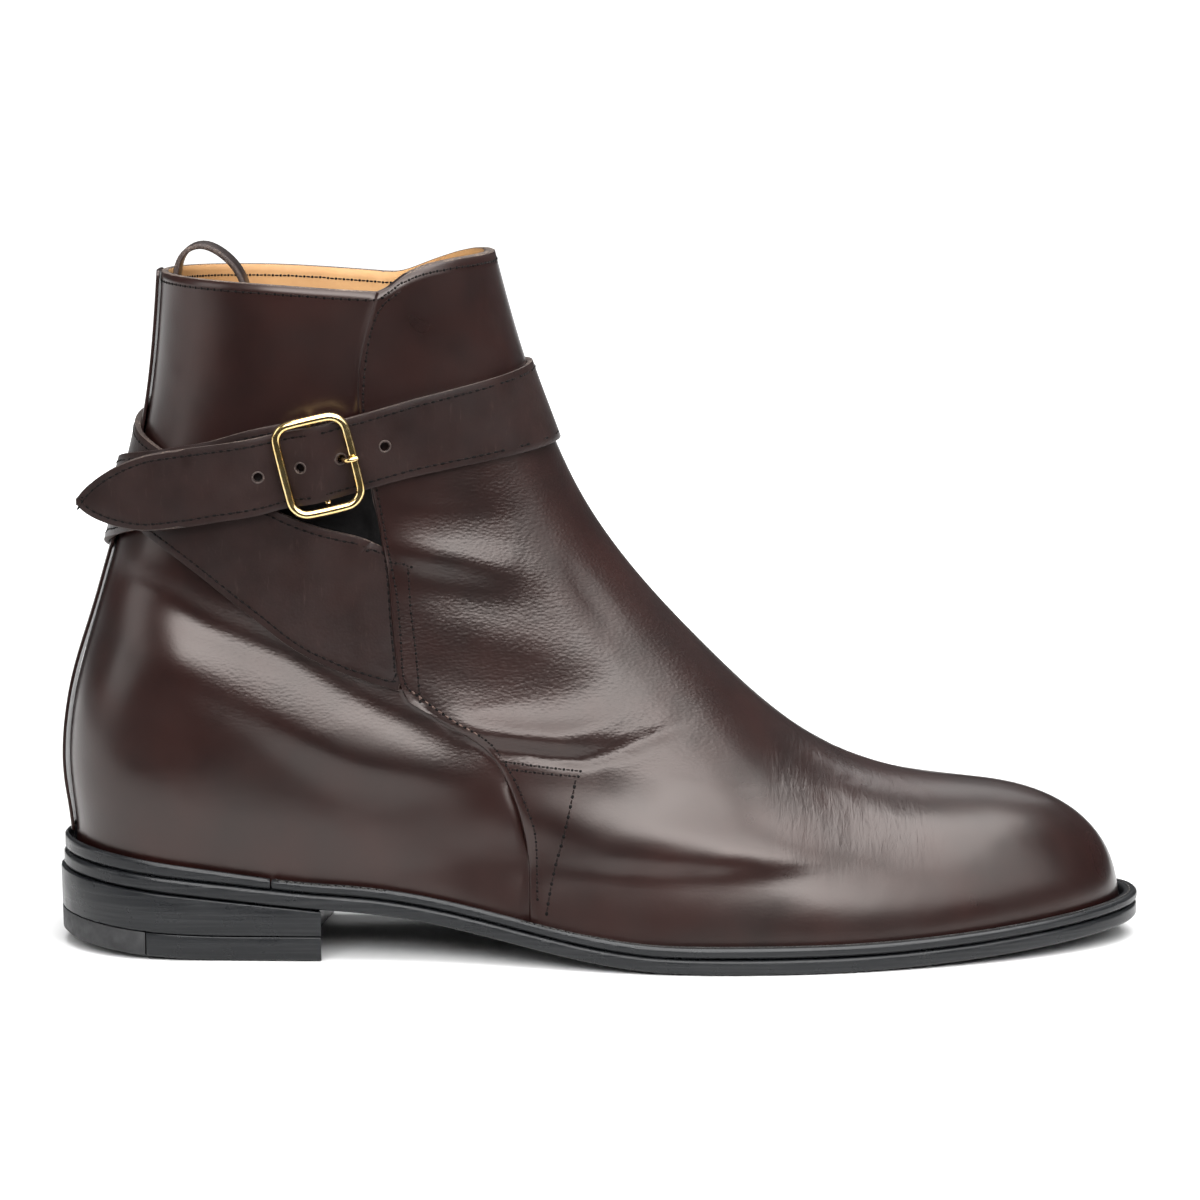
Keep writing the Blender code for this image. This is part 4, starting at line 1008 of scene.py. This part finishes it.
# rows of stitches a fixed distance inside the edges of the face that shows
def edgeRows(bm, faces, inset, tree):
    bmesh.ops.inset_region(
        bm, faces=faces, thickness=inset / 1000.0, use_even_offset=True, use_boundary=True,
    )
    inner = set(faces)
    edges = dict.fromkeys(e for f in faces for e in f.edges)
    border = [e for e in edges if sum(1 for f in e.link_faces if f in inner) == 1]
    rows = []
    for run in chainEdges(border):
        points = [v.co.copy() for v in run]
        length = sum((b - a).length for a, b in zip(points, points[1:]))
        if length * 1000.0 < threads["shortest"]:
            continue
        line = evenLine(points, threads["pitch"] / 1000.0)
        for i, point in enumerate(line):
            hit, normal, _, gap = tree.find_nearest(Vector(point))
            if gap * 1000.0 < threads["stray"]:
                rows.append((hit, runAt(line, i), normal))
    return rows


# a face that shows points away from the middle of the leg
def facesAway(face, middle):
    away = face.calc_center_median() - middle
    away.z = 0.0
    return face.normal.dot(away) > 0.0


# the sewn end of a strap goes in under the vamp's edge, and its top edge is straight
def tuckRoot(bm, side):
    look = strapLook["tuck"]
    back, front = strapLook["topEdge"]
    for vert in bm.verts:
        x, z = (vert.co.x - heelBack) * 1000.0, vert.co.z * 1000.0
        top = np.interp(x, (back[0], front[0]), (back[1], front[1]))
        if vert.co.y * side > 0.0 and back[0] < x < front[0] and abs(z - top) < strapLook["topReach"]:
            vert.co.z = top / 1000.0
        left = np.interp(z, *vampEdgeAt) - x
        if vert.co.y * side > 0.0 and left < look["over"] and z < look["below"]:
            share = min(1.0 - left / look["over"], 1.0)
            share = share * share * (3.0 - 2.0 * share)
            vert.co.x += share * look["forward"] / 1000.0
            vert.co.y -= side * share * look["inward"] / 1000.0


def buildStrap(name, node, side):
    low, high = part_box(node)
    middle = Vector(((low.x + high.x) / 2.0, 0.0, 0.0))
    bm = cleanCopy(node)
    tuckRoot(bm, side)
    markCutEdges(bm, 1, strapLook["thin"])
    creaseSharp(bm, *strapLook["crisp"])
    work = bm.copy()
    piece = makePiece(
        name, bm, [strapLeather, strapEdge], (node,),
        levels=1, bevel=strapLook["bevel"], sharp=strapLook["sharp"],
    )
    tree = objectTree(piece)
    work.normal_update()
    broad = [f for f in work.faces if f.material_index == 0 and facesAway(f, middle)]
    rows = edgeRows(work, broad, strapLook["inset"], tree)
    work.free()
    makeStitches(
        f"{name}_stitches", rows, darkThread, strapLook["stitch"], None, strapLook["hole"],
    )
    return piece


longStrap = buildStrap("long_strap_leather", "long_strap", outerSide)
buildStrap("buckle_strap_leather", "buckle_strap", innerSide)

strapHoles = {
    "near": [(97.4, 147.8), (85.3, 144.5), (73.4, 141.2), (61.3, 138.9)],   # mm, about where each hole is
    "reach": 4.0,
    "radius": 1.55,
    "lip": 0.25,
    "around": 2.2,                          # mm from a hole's middle where the strap's slope is felt
    "width": (1.0, 4.0),                    # mm: a face inside a hole has its other side this far across
}


# middles of the faces inside the punched holes: cut faces away from the strap's long edges
def holeWalls():
    least, most = (v / 1000.0 for v in strapHoles["width"])
    bm = cleanCopy("long_strap")
    tree = BVHTree.FromBMesh(bm)
    found = []
    for face in bm.faces:
        centre = face.calc_center_median()
        if centre.y > 0.0 or abs(face.normal.y) > 0.5:
            continue
        hit = tree.ray_cast(centre + face.normal * 0.0002, face.normal, most)
        if hit[0] is not None and hit[3] > least:
            found.append(centre)
    bm.free()
    return found


# a raised, paler lip round each punched hole
def buildHoleLips():
    tree = objectTree(longStrap)
    walls = holeWalls()
    bm = bmesh.new()
    for x, z in strapHoles["near"]:
        guess = bootPoint(x, z)
        near = strapHoles["reach"] / 1000.0
        close = [c for c in walls if math.hypot(c.x - guess.x, c.z - guess.z) < near]
        if not close:
            continue
        centre = sum(close, Vector()) / len(close)
        around = []
        step = strapHoles["around"] / 1000.0
        for dx, dz in ((step, 0.0), (0.0, step), (-step, 0.0), (0.0, -step)):
            start = Vector((centre.x + dx, -0.2, centre.z + dz))
            around.append(tree.ray_cast(start, Vector((0.0, 1.0, 0.0)), 0.3)[0])
        middle = sum(around, Vector()) / 4.0
        out = (around[0] - around[2]).cross(around[1] - around[3]).normalized()
        if out.y > 0.0:
            out = -out
        ring = bmesh.ops.create_circle(bm, segments=8, radius=strapHoles["lip"] / 1000.0)["verts"]
        bmesh.ops.rotate(bm, verts=ring, matrix=Matrix.Rotation(math.radians(90.0), 3, "X"))
        bmesh.ops.translate(bm, verts=ring, vec=(strapHoles["radius"] / 1000.0, 0.0, 0.0))
        edges = list(dict.fromkeys(e for v in ring for e in v.link_edges))
        before = set(bm.verts) - set(ring)
        bmesh.ops.spin(
            bm, geom=ring + edges, cent=(0.0, 0.0, 0.0), axis=(0.0, 0.0, 1.0),
            angle=math.tau, steps=24, use_merge=True,
        )
        made = [v for v in bm.verts if v not in before]
        turn = out.to_track_quat("Z", "Y").to_matrix().to_4x4()
        bmesh.ops.transform(bm, verts=made, matrix=Matrix.Translation(middle) @ turn)
    bmesh.ops.recalc_face_normals(bm, faces=bm.faces)
    makePiece("strap_hole_lips", bm, [strapEdge])


buildHoleLips()

loopLook = {"thin": 2.2, "bevel": 0.0002, "crisp": (50.0, 0.8)}


def buildLoop():
    bm = cleanCopy("pull_loop")
    markCutEdges(bm, 1, loopLook["thin"])
    creaseSharp(bm, *loopLook["crisp"])
    makePiece(
        "pull_loop_leather", bm, [strapLeather, strapEdge], ("pull_loop",),
        levels=1, bevel=loopLook["bevel"],
    )


backStripLook = {"crisp": (50.0, 0.6), "roundness": 2}


def buildBackStrip():
    bm = cleanCopy("back_strip")
    creaseSharp(bm, *backStripLook["crisp"])
    makePiece(
        "back_strip_leather", bm, [calfLeather], ("back_strip",),
        levels=backStripLook["roundness"],
    )


buildLoop()
buildBackStrip()

print("stage: buckle")


buckleLook = {"pieces": ("buckle_frame", "buckle_prong"), "roundness": 2}


def buildBuckle():
    for node in buckleLook["pieces"]:
        bm = cleanCopy(node)
        makePiece(f"{node}_brass", bm, [brassMetal], (node,), levels=buckleLook["roundness"])


buildBuckle()

print("stage: sole and heel")


soleLook = {
    "roundness": 2,                         # the soles' curved edges are subdivided
    "bevel": 0.00025,                       # the heel's straight ones are only softened
    "crisp": (30.0, 0.75),
    "sharp": 45.0,
}


def buildSole():
    rounded, softened = (soleLook["roundness"], 0.0), (0, soleLook["bevel"])
    pieces = (
        ("outsole", soleEdge, "sole_edge", rounded),
        ("welt", weltEdge, "sole_edge", rounded),
        ("heel_rand", weltEdge, "sole_edge", rounded),
        ("heel_stack", heelEdge, "heel_edge", softened),
        ("heel_top_leather", heelEdge, "heel_edge", softened),
        ("heel_top_rubber", heelRubber, "heel_rubber", softened),
    )
    for node, mat, slot, (levels, bevel) in pieces:
        bm = cleanCopy(node)
        creaseSharp(bm, *soleLook["crisp"])
        makePiece(
            f"{node}_finished", bm, [mat], (node,), levels=levels, bevel=bevel, sharp=soleLook["sharp"],
        )


weltLook = {
    "inset": 1.5,
    "clear": 1.7,                           # mm from the upper: nearer stitches are hidden
    "stitch": (1.7, 0.65),
    "hole": (0.6, 0.6),
}


# the sole's stitches show only where the welt stands out from the upper
def buildWeltStitches():
    bm = cleanCopy("welt")
    top = [f for f in bm.faces if f.normal.z > 0.9]
    rows = edgeRows(bm, top, weltLook["inset"], BVHTree.FromBMesh(bm))
    bm.free()
    shown = [row for row in rows if upperTree.find_nearest(row[0])[3] * 1000.0 > weltLook["clear"]]
    makeStitches(
        "welt_stitches", shown, soleThread, weltLook["stitch"], None, weltLook["hole"],
    )


buildSole()
buildWeltStitches()

print("stage: insole")
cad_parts["insole"].data.materials.clear()
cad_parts["insole"].data.materials.append(liningLeather)
